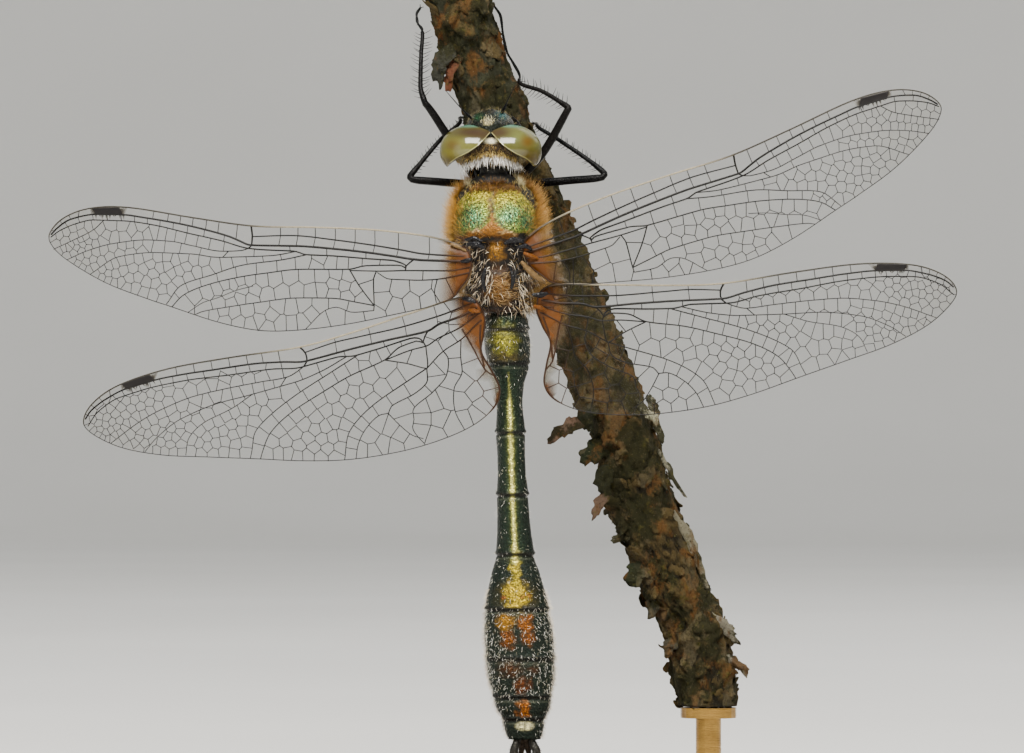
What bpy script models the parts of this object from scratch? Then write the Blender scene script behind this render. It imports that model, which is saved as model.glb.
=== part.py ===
"""A life-size downy emerald dragonfly gripping a cut length of pine branch, on a plain display stand.

Lengths are millimetres until at() or MM turns them into metres. The animal hangs head up with its back
towards -Y, so its left is towards -X. The world's origin is the centre of the underside of the base.
"""

import math

import bmesh
import bpy
from mathutils import Matrix, Vector

MM = 0.001
ANIMAL_ORIGIN = Vector((-4.0, -4.0, 0.0))  # the animal's own axes, seen from the centre of the base
BODY_ROLL = math.radians(-5.0)  # the back turns a little towards the animal's left
GAP = 0.12  # left between pieces that meet

# Head, measured from its centre.
HEAD_CENTRE = Vector((-1.65, 0.9, 60.46))
EYE_OFFSET = Vector((1.55, 0.0, -0.75))
EYE_HALF = Vector((2.42, 2.60, 1.92))
EYE_REAR_POINT = Vector((1.80, 0.0, -0.72))
EYE_REAR_SLOPE = math.radians(30.0)  # the rear rim falls away towards the side
CAPSULE_OFFSET = Vector((0.0, 0.2, -0.60))
CAPSULE_HALF = Vector((3.35, 2.20, 1.95))
CAPSULE_REAR = -2.05
FACE_OFFSET = Vector((0.0, 1.00, 0.90))
FACE_HALF = Vector((1.88, 2.45, 1.52))
FACE_REAR = 0.50

# Wings: half a millimetre thick plates, each shape drawn along its span (u) and towards its rear edge (v).
WING_THICK = 0.5
FOREWING_EDGE = [
    (0.0, -0.25), (2.6, -0.95), (7.0, -1.35), (12.0, -1.42), (16.8, -1.38), (21.6, -1.88), (27.0, -2.55),
    (30.2, -2.38), (32.3, -1.55), (33.35, -0.35), (33.2, 0.55), (31.8, 1.75), (28.6, 3.42), (25.2, 4.55),
    (23.2, 5.12), (19.6, 6.15), (16.2, 6.72), (13.0, 6.62), (9.0, 6.02), (5.2, 5.15), (2.4, 4.45),
    (0.7, 3.75), (0.0, 2.9), (-0.6, 2.0), (-0.75, 0.6),
]
HINDWING_EDGE = [
    (0.0, -1.08), (4.5, -1.08), (9.0, -0.93), (13.5, -0.98), (19.0, -1.72), (24.0, -2.25), (28.0, -2.12),
    (30.3, -1.42), (31.5, -0.35), (31.35, 0.75), (29.4, 2.55), (26.4, 4.05), (23.0, 5.2), (19.2, 6.45),
    (15.6, 7.65), (12.0, 8.55), (8.0, 9.02), (4.6, 8.98), (2.0, 8.55), (0.2, 7.65), (-0.5, 6.5),
    (-0.3, 5.0), (0.05, 3.3), (-0.55, 2.0), (-0.95, 0.5),
]
# Each wing: outline, side, hinge (x, y, z), sweep towards the head, tilt away from the viewer.
WINGS = {
    "wing_fore_left": (FOREWING_EDGE, -1, (-3.87, -3.10, 51.80), 1.9, 14.0),
    "wing_fore_right": (FOREWING_EDGE, 1, (1.40, -3.00, 52.62), 17.9, 0.0),
    "wing_hind_left": (HINDWING_EDGE, -1, (-3.27, -2.14, 47.13), -16.3, 7.0),
    "wing_hind_right": (HINDWING_EDGE, 1, (2.87, -2.00, 47.93), 1.3, 0.0),
}

# Trunk rings: height, centre x, half width, back y, belly y, squareness of the outline.
NECK_RINGS = [
    (58.34, -1.50, 1.05, 0.00, 2.10, 2.0),
    (57.80, -1.45, 1.20, -0.10, 2.20, 2.0),
]
PROTHORAX_RINGS = [
    (57.68, -1.40, 1.35, -0.45, 2.40, 2.0),
    (57.40, -1.35, 1.90, -0.95, 2.70, 2.1),
    (56.98, -1.30, 2.30, -1.15, 3.00, 2.2),
]
THORAX_RINGS = [
    (56.84, -1.25, 2.50, -0.85, 3.10, 2.2),
    (56.35, -1.22, 3.15, -1.65, 3.60, 2.3),
    (55.30, -1.22, 3.62, -2.60, 4.40, 2.4),
    (54.20, -1.22, 3.74, -3.20, 4.95, 2.5),
    (53.30, -1.22, 3.74, -3.45, 5.20, 2.6),
    (52.70, -1.18, 3.66, -3.25, 5.30, 2.7),
    (52.10, -1.16, 3.58, -2.90, 5.35, 2.7),
    (50.90, -1.10, 3.50, -2.85, 5.30, 2.7),
    (49.70, -1.00, 3.40, -2.90, 5.10, 2.7),
    (48.55, -0.90, 3.12, -2.75, 4.60, 2.6),
    (47.65, -0.75, 2.70, -2.40, 3.90, 2.4),
    (47.08, -0.65, 2.20, -2.05, 3.20, 2.2),
]
# Abdomen joints from the trunk to the tip: height, centre x, half width, back y, belly y.
ABDOMEN_JOINTS = [
    (46.97, -0.50, 1.75, -1.70, 2.50),
    (45.60, -0.42, 1.86, -1.95, 2.90),
    (42.97, -0.28, 1.66, -1.50, 2.10),
    (37.58, -0.12, 1.20, -0.95, 1.45),
    (32.75, 0.04, 1.28, -0.95, 1.40),
    (28.12, 0.24, 1.54, -1.05, 1.45),
    (23.85, 0.38, 2.52, -1.35, 1.70),
    (20.00, 0.64, 2.72, -1.40, 1.75),
    (17.03, 0.80, 2.28, -1.20, 1.55),
    (15.30, 0.92, 1.66, -0.95, 1.25),
    (13.72, 0.96, 1.32, -0.75, 1.00),
]
# How much each segment's middle stands in from (or, above one, out of) the mean of its two ends.
SEGMENT_MIDDLES = [1.05, 1.06, 0.76, 0.92, 0.96, 1.05, 1.05, 1.05, 1.08, 1.05]
SEGMENT_SIDES = 20
TRUNK_SIDES = 28
TUBE_RESOLUTION = 3

# Legs: points run from the trunk outwards. Radii are those of the thickest and the thinnest end.
FEMUR_RADII = (0.36, 0.30)
TIBIA_RADII = (0.26, 0.25)
TARSUS_RADII = (0.25, 0.25)
LEGS = {
    "leg_fore_left": [
        [(-2.55, 2.80, 57.75), (-2.85, 4.05, 59.00), (-3.30, 4.50, 60.70)],
        [(-3.32, 4.55, 61.12), (-2.95, 4.75, 61.90), (-2.40, 4.62, 62.45)],
        [(-2.12, 4.60, 62.52), (-1.75, 4.58, 62.66), (-1.30, 4.60, 62.70)],
    ],
    "leg_fore_right": [
        [(-0.15, 2.80, 57.75), (0.55, 3.95, 59.00), (0.80, 4.50, 60.70)],
        [(0.78, 4.62, 61.12), (0.40, 4.90, 61.85), (-0.05, 4.88, 62.28)],
        [(-0.28, 4.86, 62.42), (-0.55, 4.78, 62.62), (-0.85, 4.68, 62.90)],
    ],
    "leg_mid_left": [
        [(-2.60, 3.95, 57.15), (-3.70, 4.25, 58.70), (-5.05, 4.00, 60.82), (-6.62, 3.75, 63.18)],
        [(-6.88, 3.75, 63.60), (-7.17, 4.20, 64.75), (-7.12, 5.10, 67.36), (-7.02, 5.90, 68.85)],
        [(-7.06, 6.10, 69.22), (-7.42, 6.50, 69.80), (-7.50, 6.90, 70.45), (-7.22, 7.25, 70.98)],
    ],
    "leg_mid_right": [
        [(0.10, 3.95, 57.15), (1.15, 4.20, 58.10), (2.35, 4.00, 59.40), (4.28, 3.65, 62.72)],
        [(4.20, 3.80, 63.20), (2.35, 4.90, 64.36), (0.55, 5.92, 65.15)],
        [
            (0.62, 6.30, 65.50), (0.05, 6.35, 66.70), (-0.38, 6.32, 67.45), (-0.68, 6.02, 68.70),
            (-0.90, 5.98, 70.30), (-1.35, 5.56, 71.00),
        ],
    ],
    "leg_hind_left": [
        [(-2.90, 4.90, 55.70), (-3.45, 4.55, 57.00), (-5.55, 3.95, 57.22), (-7.84, 3.50, 57.42)],
        [(-7.66, 3.66, 58.06), (-5.50, 4.75, 60.66), (-4.04, 6.18, 62.08)],
        [(-4.42, 6.80, 62.36), (-4.62, 7.70, 62.55), (-4.55, 8.70, 62.75)],
    ],
    "leg_hind_right": [
        [(0.50, 4.90, 55.70), (1.60, 4.55, 57.06), (4.25, 3.80, 57.32), (7.12, 3.10, 57.58)],
        [(6.86, 3.36, 58.24), (3.50, 4.95, 60.66), (1.98, 6.10, 61.68)],
        [(2.16, 6.72, 61.92), (2.36, 7.70, 62.10), (2.26, 8.70, 62.30)],
    ],
}
LEG_PIECES = (("femur", FEMUR_RADII), ("tibia", TIBIA_RADII), ("tarsus", TARSUS_RADII))
ANTENNAE = {
    "antenna_left": [(-3.28, 0.85, 62.20), (-4.20, 0.50, 63.15), (-5.12, 0.30, 64.20)],
    "antenna_right": [(-0.62, 1.00, 62.86), (-0.25, 0.75, 63.70), (0.20, 0.50, 64.60)],
}
ANTENNA_RADII = (0.27, 0.25)
CERCI = {
    "cercus_left": [(0.32, -0.20, 13.50), (0.14, -0.30, 12.80), (0.15, -0.30, 11.95), (0.26, -0.22, 11.20)],
    "cercus_right": [(1.62, -0.20, 13.50), (1.90, -0.30, 12.80), (1.92, -0.30, 11.95), (1.80, -0.22, 11.20)],
}
CERCUS_RADII = (0.42, 0.28)
EPIPROCT_EDGE = [
    (-0.62, 0.0), (0.62, 0.0), (0.52, -0.90), (0.62, -1.85), (0.30, -1.95), (0.0, -1.25), (-0.30, -1.95),
    (-0.62, -1.85), (-0.52, -0.90),
]
EPIPROCT_TOP = (1.0, 0.62, 13.58)

# Branch: a nearly straight stem that passes behind the trunk, cut level at its foot.
# Its axis from top to foot: height, x, y, radius.
BRANCH_AXIS = [
    (73.5, -4.70, 7.20, 2.60), (71.6, -4.23, 7.30, 2.61), (68.0, -3.33, 7.40, 2.44), (66.6, -2.96, 7.45, 2.34),
    (64.8, -2.04, 7.50, 2.52), (62.2, -1.15, 7.70, 2.58), (56.0, 1.40, 8.30, 2.65), (47.0, 4.95, 8.75, 2.70),
    (40.6, 7.55, 8.90, 2.65), (36.8, 9.20, 9.00, 2.58), (31.7, 10.20, 9.20, 2.64), (28.1, 11.75, 9.35, 2.60),
    (25.1, 12.78, 9.40, 2.76), (21.3, 14.75, 9.50, 2.48), (16.0, 15.50, 9.50, 2.36),
]
BRANCH_RING_STEP = 3.1
BRANCH_SLANT = 1.06  # level rings are this much wider along x, as the stem leans that way
BRANCH_SIDES = 18

BASE_LENGTH, BASE_DEPTH, BASE_THICK = 60.0, 38.0, 5.0
BASE_CORNER, BASE_EDGE = 4.0, 0.8
ROD_RADIUS, ROD_SIDES = 1.0, 20
CUP_RADIUS, CUP_THICK = 2.2, 0.8


def at(x, y, z):
    """A point of the animal's own axes, as metres in the world."""
    return (Vector((x, y, z)) + ANIMAL_ORIGIN) * MM


def clear_scene():
    for obj in list(bpy.data.objects):
        bpy.data.objects.remove(obj)


def new_collection(name):
    collection = bpy.data.collections.new(name)
    bpy.context.scene.collection.children.link(collection)
    return collection


def material(name, colour, roughness, metallic=0.0, alpha=1.0):
    made = bpy.data.materials.new(name)
    made.use_nodes = True
    shader = made.node_tree.nodes["Principled BSDF"]
    shader.inputs["Base Color"].default_value = (*colour, 1.0)
    shader.inputs["Roughness"].default_value = roughness
    shader.inputs["Metallic"].default_value = metallic
    shader.inputs["Alpha"].default_value = alpha
    return made


def finish_mesh(name, bm, finish, angle=35.0):
    """The bmesh as a closed, outward-facing, smooth-shaded object of the part."""
    bmesh.ops.recalc_face_normals(bm, faces=bm.faces)
    mesh = bpy.data.meshes.new(name)
    bm.to_mesh(mesh)
    bm.free()
    mesh.materials.append(finish)
    mesh.shade_smooth()
    mesh.set_sharp_from_angle(angle=math.radians(angle))
    obj = bpy.data.objects.new(name, mesh)
    PART.objects.link(obj)
    return obj


def loft(name, rings, finish):
    """A closed body over rings of world points that all have the same count."""
    bm = bmesh.new()
    loops = [[bm.verts.new(point) for point in ring] for ring in rings]
    count = len(rings[0])
    for lower, upper in zip(loops, loops[1:]):
        for i in range(count):
            j = (i + 1) % count
            bm.faces.new((lower[i], lower[j], upper[j], upper[i]))
    bm.faces.new(loops[0])
    bm.faces.new(loops[-1])
    return finish_mesh(name, bm, finish)


def trunk_ring(z, centre_x, half_width, back, belly, squareness, sides):
    """One level ring of the trunk or abdomen, turned by the body's roll about its own middle."""
    middle = (back + belly) / 2
    half_depth = (belly - back) / 2
    turn = Matrix.Rotation(BODY_ROLL, 3, "Z")
    ring = []
    for i in range(sides):
        angle = 2 * math.pi * i / sides
        across = math.copysign(abs(math.cos(angle)) ** (2 / squareness), math.cos(angle))
        deep = math.copysign(abs(math.sin(angle)) ** (2 / squareness), math.sin(angle))
        offset = turn @ Vector((half_width * across, half_depth * deep, 0.0))
        ring.append(at(centre_x + offset.x, middle + offset.y, z))
    return ring


def build_trunk(finishes):
    for name, rows in (("neck", NECK_RINGS), ("prothorax", PROTHORAX_RINGS), ("thorax", THORAX_RINGS)):
        loft(name, [trunk_ring(*row, sides=TRUNK_SIDES) for row in rows], finishes["body"])


def build_abdomen(finishes):
    joints = list(zip(ABDOMEN_JOINTS, ABDOMEN_JOINTS[1:]))
    for number, (top, bottom) in enumerate(joints, start=1):
        swell = SEGMENT_MIDDLES[number - 1]
        rings = []
        for share in (0.0, 0.3, 0.6, 1.0):
            row = [a + (b - a) * share for a, b in zip(top, bottom)]
            scale = 1 + (swell - 1) * math.sin(math.pi * share)
            middle, half_depth = (row[3] + row[4]) / 2, (row[4] - row[3]) / 2 * scale
            z = row[0] - GAP / 2 + GAP * share
            rings.append(
                trunk_ring(z, row[1], row[2] * scale, middle - half_depth, middle + half_depth, 2.0, SEGMENT_SIDES)
            )
        loft(f"abdomen_{number:02d}", rings, finishes["body"])


def ellipsoid_mesh(centre, half, segments=32, rings=18):
    """A ball of the animal's axes with its poles towards the back and belly."""
    bm = bmesh.new()
    bmesh.ops.create_uvsphere(bm, u_segments=segments, v_segments=rings, radius=1.0)
    bmesh.ops.rotate(bm, verts=bm.verts, matrix=Matrix.Rotation(math.pi / 2, 3, "X"))
    for vert in bm.verts:
        vert.co = at(*(centre + Vector(half) * vert.co))
    return bm


def cut_flat(bm, point, outward):
    """Removes what lies beyond a plane, and closes the cut."""
    where = at(*point)
    geometry = bm.verts[:] + bm.edges[:] + bm.faces[:]
    cut = bmesh.ops.bisect_plane(bm, geom=geometry, plane_co=where, plane_no=outward, clear_outer=True)
    rim = [edge for edge in cut["geom_cut"] if isinstance(edge, bmesh.types.BMEdge)]
    bmesh.ops.edgeloop_fill(bm, edges=rim)


def rear_normal(side):
    """Out of the eye's flat rear face: down, and in towards the middle."""
    return Vector((-side * math.sin(EYE_REAR_SLOPE), 0.0, -math.cos(EYE_REAR_SLOPE)))


def eye_mesh(side, grow=0.0):
    """One eye, cut at the middle of the head and at its rear rim. Growing it gives room for its neighbours."""
    mirror = Vector((side, 1.0, 1.0))
    bm = ellipsoid_mesh(HEAD_CENTRE + EYE_OFFSET * mirror, EYE_HALF + Vector((grow, grow, grow)))
    inner = HEAD_CENTRE + Vector((side * (GAP / 2 - grow), 0.0, 0.0))
    cut_flat(bm, inner, Vector((-side, 0.0, 0.0)))
    rear = rear_normal(side)
    cut_flat(bm, HEAD_CENTRE + EYE_REAR_POINT * mirror + rear * grow, rear)
    return bm


def build_head(finishes):
    for name, side in (("eye_left", -1), ("eye_right", 1)):
        finish_mesh(name, eye_mesh(side), finishes["eye"])
    capsule = ellipsoid_mesh(HEAD_CENTRE + CAPSULE_OFFSET, CAPSULE_HALF)
    for side in (-1, 1):
        rear = rear_normal(side)
        edge = HEAD_CENTRE + EYE_REAR_POINT * Vector((side, 1.0, 1.0)) + rear * GAP
        cut_flat(capsule, edge, -rear)
    cut_flat(capsule, HEAD_CENTRE + Vector((0.0, 0.0, CAPSULE_REAR)), Vector((0.0, 0.0, -1.0)))
    finish_mesh("head", capsule, finishes["body"])
    face = ellipsoid_mesh(HEAD_CENTRE + FACE_OFFSET, FACE_HALF)
    cut_flat(face, HEAD_CENTRE + Vector((0.0, 0.0, FACE_REAR)), Vector((0.0, 0.0, -1.0)))
    face = finish_mesh("face", face, finishes["face"])
    for name, side in (("eye_room_left", -1), ("eye_room_right", 1)):
        cutter = finish_mesh(name, eye_mesh(side, grow=GAP), finishes["eye"])
        make_cutter(cutter)
        cut = face.modifiers.new(name, "BOOLEAN")
        cut.object = cutter
        cut.solver = "EXACT"


def make_cutter(obj):
    PART.objects.unlink(obj)
    CUTTERS.objects.link(obj)
    obj.hide_render = True
    obj.display_type = "WIRE"


def tube(name, points, radii, finish):
    """A tapering rod through a few points."""
    curve = bpy.data.curves.new(name, "CURVE")
    curve.dimensions = "3D"
    curve.bevel_depth = MM
    curve.bevel_resolution = TUBE_RESOLUTION
    curve.use_fill_caps = True
    spline = curve.splines.new("POLY")
    spline.points.add(len(points) - 1)
    last = len(points) - 1
    for i, (knot, point) in enumerate(zip(spline.points, points)):
        knot.co = (*at(*point), 1.0)
        knot.radius = radii[0] + (radii[1] - radii[0]) * i / last
    curve.materials.append(finish)
    obj = bpy.data.objects.new(name, curve)
    PART.objects.link(obj)
    return obj


def build_limbs(finishes):
    for leg, routes in LEGS.items():
        for route, (piece, radii) in zip(routes, LEG_PIECES):
            tube(f"{leg}_{piece}", route, radii, finishes["leg"])
    for name, route in ANTENNAE.items():
        tube(name, route, ANTENNA_RADII, finishes["leg"])
    for name, route in CERCI.items():
        tube(name, route, CERCUS_RADII, finishes["leg"])


def smooth_loop(points, steps):
    """A closed curve through the points, with this many steps from each to the next."""
    count = len(points)
    smooth = []
    for i in range(count):
        before, start, end, after = (Vector(points[(i + k) % count]) for k in (-1, 0, 1, 2))
        for step in range(steps):
            t = step / steps
            smooth.append(
                0.5
                * (
                    2 * start
                    + (end - before) * t
                    + (2 * before - 5 * start + 4 * end - after) * t**2
                    + (3 * start - before - 3 * end + after) * t**3
                )
            )
    return smooth


def plate(name, outline, place, thick, finish):
    """A flat plate whose outline's two numbers, and its thickness, follow the axes of place."""
    bm = bmesh.new()
    face = bm.faces.new([bm.verts.new((u * MM, v * MM, -thick / 2 * MM)) for u, v in outline])
    raised = bmesh.ops.extrude_face_region(bm, geom=[face])
    moved = [item for item in raised["geom"] if isinstance(item, bmesh.types.BMVert)]
    bmesh.ops.translate(bm, verts=moved, vec=(0.0, 0.0, thick * MM))
    bmesh.ops.transform(bm, matrix=place, verts=bm.verts)
    return finish_mesh(name, bm, finish)


def wing_place(side, hinge, sweep_degrees, tilt_degrees):
    """Turns span, chord and thickness into the world."""
    sweep, tilt = math.radians(sweep_degrees), math.radians(tilt_degrees)
    span = Vector((side * math.cos(sweep) * math.cos(tilt), math.sin(tilt), math.sin(sweep) * math.cos(tilt)))
    chord = Vector((side * math.sin(sweep), 0.0, -math.cos(sweep)))
    axes = Matrix((span, chord, span.cross(chord))).transposed().to_4x4()
    return Matrix.Translation(at(*hinge)) @ axes


def build_wings(finishes):
    for name, (edge, side, hinge, sweep, tilt) in WINGS.items():
        plate(name, smooth_loop(edge, 3), wing_place(side, hinge, sweep, tilt), WING_THICK, finishes["wing"])


def build_epiproct(finishes):
    """The forked lower clasper below the two cerci."""
    place = Matrix.Translation(at(*EPIPROCT_TOP)) @ Matrix.Rotation(math.pi / 2, 4, "X")
    plate("epiproct", EPIPROCT_EDGE, place, 0.55, finishes["leg"])


def branch_at(z):
    """The branch's middle and radius at a height, between the two nearest axis rows."""
    for upper, lower in zip(BRANCH_AXIS, BRANCH_AXIS[1:]):
        if z >= lower[0]:
            break
    share = (upper[0] - z) / (upper[0] - lower[0])
    return [a + (b - a) * share for a, b in zip(upper[1:], lower[1:])]


def build_branch(finishes):
    top, foot = BRANCH_AXIS[0][0], BRANCH_AXIS[-1][0]
    count = round((top - foot) / BRANCH_RING_STEP)
    rings = []
    for row in range(count + 1):
        z = top + (foot - top) * row / count
        x, y, radius = branch_at(z)
        ring = []
        for i in range(BRANCH_SIDES):
            angle = 2 * math.pi * i / BRANCH_SIDES
            lump = 0.10 * math.sin(3 * angle + 0.9 * row) + 0.08 * math.sin(2 * angle - 1.7 * row)
            reach = radius + lump
            ring.append(at(x + BRANCH_SLANT * reach * math.cos(angle), y + reach * math.sin(angle), z))
        rings.append(ring)
    loft("perch_branch", rings, finishes["bark"])


def build_stand(finishes):
    bm = bmesh.new()
    bmesh.ops.create_cube(bm, size=1.0)
    for vert in bm.verts:
        vert.co = Vector((vert.co.x * BASE_LENGTH, vert.co.y * BASE_DEPTH, (vert.co.z + 0.5) * BASE_THICK)) * MM
    upright = [edge for edge in bm.edges if abs(edge.verts[0].co.z - edge.verts[1].co.z) > MM]
    bmesh.ops.bevel(bm, geom=upright, offset=BASE_CORNER * MM, segments=5, affect="EDGES", profile=0.5)
    rim = [edge for edge in bm.edges if min(vert.co.z for vert in edge.verts) > (BASE_THICK - 0.01) * MM]
    bmesh.ops.bevel(bm, geom=rim, offset=BASE_EDGE * MM, segments=2, affect="EDGES", profile=0.5)
    finish_mesh("stand_base", bm, finishes["wood"])

    foot = BRANCH_AXIS[-1]
    rod_top = foot[0] - GAP
    profile = [
        (CUP_RADIUS, rod_top), (CUP_RADIUS, rod_top - CUP_THICK), (ROD_RADIUS, rod_top - CUP_THICK),
        (ROD_RADIUS, BASE_THICK + GAP),
    ]
    centre = at(foot[1], foot[2], 0.0)
    rings = []
    for radius, z in profile:
        turn = [2 * math.pi * i / ROD_SIDES for i in range(ROD_SIDES)]
        rings.append([centre + Vector((radius * math.cos(a), radius * math.sin(a), z)) * MM for a in turn])
    loft("stand_rod", rings, finishes["metal"])


clear_scene()
PART = new_collection("dragonfly_on_perch")
CUTTERS = new_collection("cutters")
CUTTERS.hide_render = True
FINISHES = {
    "body": material("body_cuticle", (0.05, 0.07, 0.03), 0.35, metallic=0.6),
    "face": material("face_cuticle", (0.02, 0.05, 0.03), 0.30, metallic=0.4),
    "eye": material("eye_cornea", (0.55, 0.50, 0.30), 0.12),
    "leg": material("leg_cuticle", (0.008, 0.008, 0.009), 0.30),
    "wing": material("wing_membrane", (0.80, 0.72, 0.55), 0.20, alpha=0.35),
    "bark": material("pine_bark", (0.16, 0.11, 0.07), 0.90),
    "wood": material("stand_walnut", (0.13, 0.07, 0.04), 0.45),
    "metal": material("stand_brass", (0.62, 0.48, 0.25), 0.30, metallic=1.0),
}
build_head(FINISHES)
build_trunk(FINISHES)
build_abdomen(FINISHES)
build_limbs(FINISHES)
build_epiproct(FINISHES)
build_wings(FINISHES)
build_branch(FINISHES)
build_stand(FINISHES)
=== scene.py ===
"""The looks of a life-size downy emerald dragonfly gripping a pine twig on a display stand.

Places and sizes are millimetres in the animal's own axes until place() makes them metres: x to the
right as seen from behind its back, y from the back towards the belly, z up towards the head.
"""

import math

import bmesh
import bpy
import numpy as np
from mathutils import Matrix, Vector, geometry, noise


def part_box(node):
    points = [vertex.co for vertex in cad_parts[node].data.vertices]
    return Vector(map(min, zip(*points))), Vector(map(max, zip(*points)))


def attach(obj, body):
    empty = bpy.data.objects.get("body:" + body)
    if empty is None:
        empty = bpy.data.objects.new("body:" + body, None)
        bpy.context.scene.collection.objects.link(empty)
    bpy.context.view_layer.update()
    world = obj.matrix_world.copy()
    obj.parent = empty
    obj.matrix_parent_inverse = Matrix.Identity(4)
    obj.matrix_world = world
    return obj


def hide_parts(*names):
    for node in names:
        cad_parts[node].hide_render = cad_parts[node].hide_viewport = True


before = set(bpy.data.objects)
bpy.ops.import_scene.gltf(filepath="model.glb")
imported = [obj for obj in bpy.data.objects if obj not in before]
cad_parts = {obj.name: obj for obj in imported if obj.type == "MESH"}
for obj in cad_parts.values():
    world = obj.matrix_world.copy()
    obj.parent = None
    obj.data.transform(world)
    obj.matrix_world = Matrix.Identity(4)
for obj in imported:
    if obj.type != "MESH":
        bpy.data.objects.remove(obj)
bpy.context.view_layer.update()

MM = 0.001
BASE_LOW, BASE_HIGH = (np.array(corner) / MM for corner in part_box("stand_base"))
BASE_MIDDLE = (4.0, 4.0)  # where the base's middle lies in the animal's axes
ANIMAL = np.array([*((BASE_LOW + BASE_HIGH) / 2)[:2] - BASE_MIDDLE, 0.0])
BODY_ROLL = math.radians(-5.0)  # the back turns a little towards the animal's left
UP, SIDE, BACK = np.array([0.0, 0.0, 1.0]), np.array([1.0, 0.0, 0.0]), np.array([0.0, -1.0, 0.0])
NIGHT, BOTTLE = (0.010, 0.011, 0.010), (0.006, 0.011, 0.008)  # the black under all, and the tail's green


def place(points):
    """Millimetres in the animal's axes to metres in the world."""
    return (np.asarray(points, float) + ANIMAL) * MM


def cad_points(node):
    """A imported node's corners, as millimetres in the animal's axes."""
    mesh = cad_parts[node].data
    flat = np.empty(len(mesh.vertices) * 3)
    mesh.vertices.foreach_get("co", flat)
    return flat.reshape(-1, 3) / MM - ANIMAL


def unit(vectors):
    return vectors / np.maximum(np.linalg.norm(vectors, axis=-1, keepdims=True), 1e-9)


def smoothstep(low, high, value):
    share = np.clip((value - low) / (high - low), 0.0, 1.0)
    return share * share * (3 - 2 * share)


def ridge(distance, width):
    """1 at no distance, falling away smoothly on both sides."""
    return np.exp(-((distance / width) ** 2))


def mix(first, second, share):
    """first where share is 0, and second where it is 1."""
    first, second = np.asarray(first, float), np.asarray(second, float)
    return first + (second - first) * share


def full_turn(count):
    """Even angles round a circle."""
    return 2 * math.pi * np.arange(count) / count


def taper(count, stops, values):
    """Values at even steps along a piece, from a few stops between 0 and 1."""
    return np.interp(np.linspace(0, 1, count), stops, values)


def spot(x, z, centre_x, centre_z, reach_x, reach_z, edge=0.4):
    """1 inside an ellipse on the back, falling to 0 over the last share of its reach."""
    distance = np.hypot((x - centre_x) / reach_x, (z - centre_z) / reach_z)
    return 1 - smoothstep(1 - edge, 1 + edge, distance)


def smooth_values(knots, rows, where):
    """Rows of values between knots, smooth and with no overshoot."""
    knots, rows = np.asarray(knots, float), np.asarray(rows, float)
    step = np.diff(knots)[:, None]
    rise = np.diff(rows, axis=0) / step
    slope = np.zeros_like(rows)
    product = rise[1:] * rise[:-1]
    total = np.where(product > 0, rise[1:] + rise[:-1], 1.0)
    slope[1:-1] = np.where(product > 0, 2 * product / total, 0.0)
    slope[0], slope[-1] = rise[0], rise[-1]
    at = np.clip(np.searchsorted(knots, where) - 1, 0, len(step) - 1)
    width = step[at]
    t = (np.asarray(where)[:, None] - knots[at][:, None]) / width
    start, end = rows[at], rows[at + 1]
    return (
        start * (1 + 2 * t) * (1 - t) ** 2
        + end * t**2 * (3 - 2 * t)
        + slope[at] * width * t * (1 - t) ** 2
        - slope[at + 1] * width * t**2 * (1 - t)
    )


def noise_at(points, scale, shift=(0.0, 0.0, 0.0)):
    """Smooth noise around 0 at many points."""
    return np.array([noise.noise(Vector(point) * scale + Vector(shift)) for point in points])


def path_lengths(path):
    """How far along a path each of its points lies."""
    return np.concatenate([[0.0], np.cumsum(np.linalg.norm(np.diff(path, axis=0), axis=1))])


def smooth_path(points, count):
    """Evenly spaced points on a smooth curve through a few."""
    points = np.asarray(points, float)
    lengths = path_lengths(points)
    return smooth_values(lengths, points, np.linspace(0.0, lengths[-1], count))


class Shape:
    """Closed surfaces gathered into one mesh, with a colour and a sheen for every corner."""

    def __init__(self):
        self.points, self.faces, self.tints, self.traits, self.patches = [], [], [], [], []
        self.count = 0

    def add(self, points, faces, tint=(0.5, 0.5, 0.5), trait=(0.0, 0.4, 1.0), patch=None):
        """trait is the metallic share, the roughness and the alpha. patch is each corner's OFBake place."""
        size = len(points)
        self.points.append(np.asarray(points, float))
        self.faces += [[corner + self.count for corner in face] for face in faces]
        self.tints.append(np.broadcast_to(np.asarray(tint, float), (size, 3)))
        self.traits.append(np.broadcast_to(np.asarray(trait, float), (size, 3)))
        if patch is not None:
            self.patches.append(np.asarray(patch, float))
        self.count += size

    def add_tube(self, path, radii, sides, tint, trait, flat=1.0):
        points, faces = tube(path, radii, sides, flat)
        self.add(points, faces, tint, trait)

    def piece(self, name, finish, slot, replaced=(), turn_out=True):
        """The gathered shape as an object that rides with the frame."""
        mesh = bpy.data.meshes.new(name)
        mesh.from_pydata(place(np.concatenate(self.points)).tolist(), [], self.faces)
        for label, values in (("tint", self.tints), ("trait", self.traits)):
            store_colour(mesh, label, np.concatenate(values))
        if self.patches:
            store_patches(mesh, np.concatenate(self.patches))
        if turn_out:
            outward(mesh)
        return finish_piece(mesh, name, finish, replaced)


def store_colour(mesh, label, values):
    layer = mesh.attributes.new(label, "FLOAT_COLOR", "POINT")
    layer.data.foreach_set("color", np.hstack([values, np.ones((len(values), 1))]).ravel())


def store_patches(mesh, patches):
    corners = np.empty(len(mesh.loops), int)
    mesh.loops.foreach_get("vertex_index", corners)
    mesh.uv_layers.new(name="OFBake").data.foreach_set("uv", patches[corners].ravel())


def outward(mesh):
    """Turns every face of closed surfaces out."""
    shape = bmesh.new()
    shape.from_mesh(mesh)
    bmesh.ops.recalc_face_normals(shape, faces=shape.faces)
    shape.to_mesh(mesh)
    shape.free()


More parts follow.
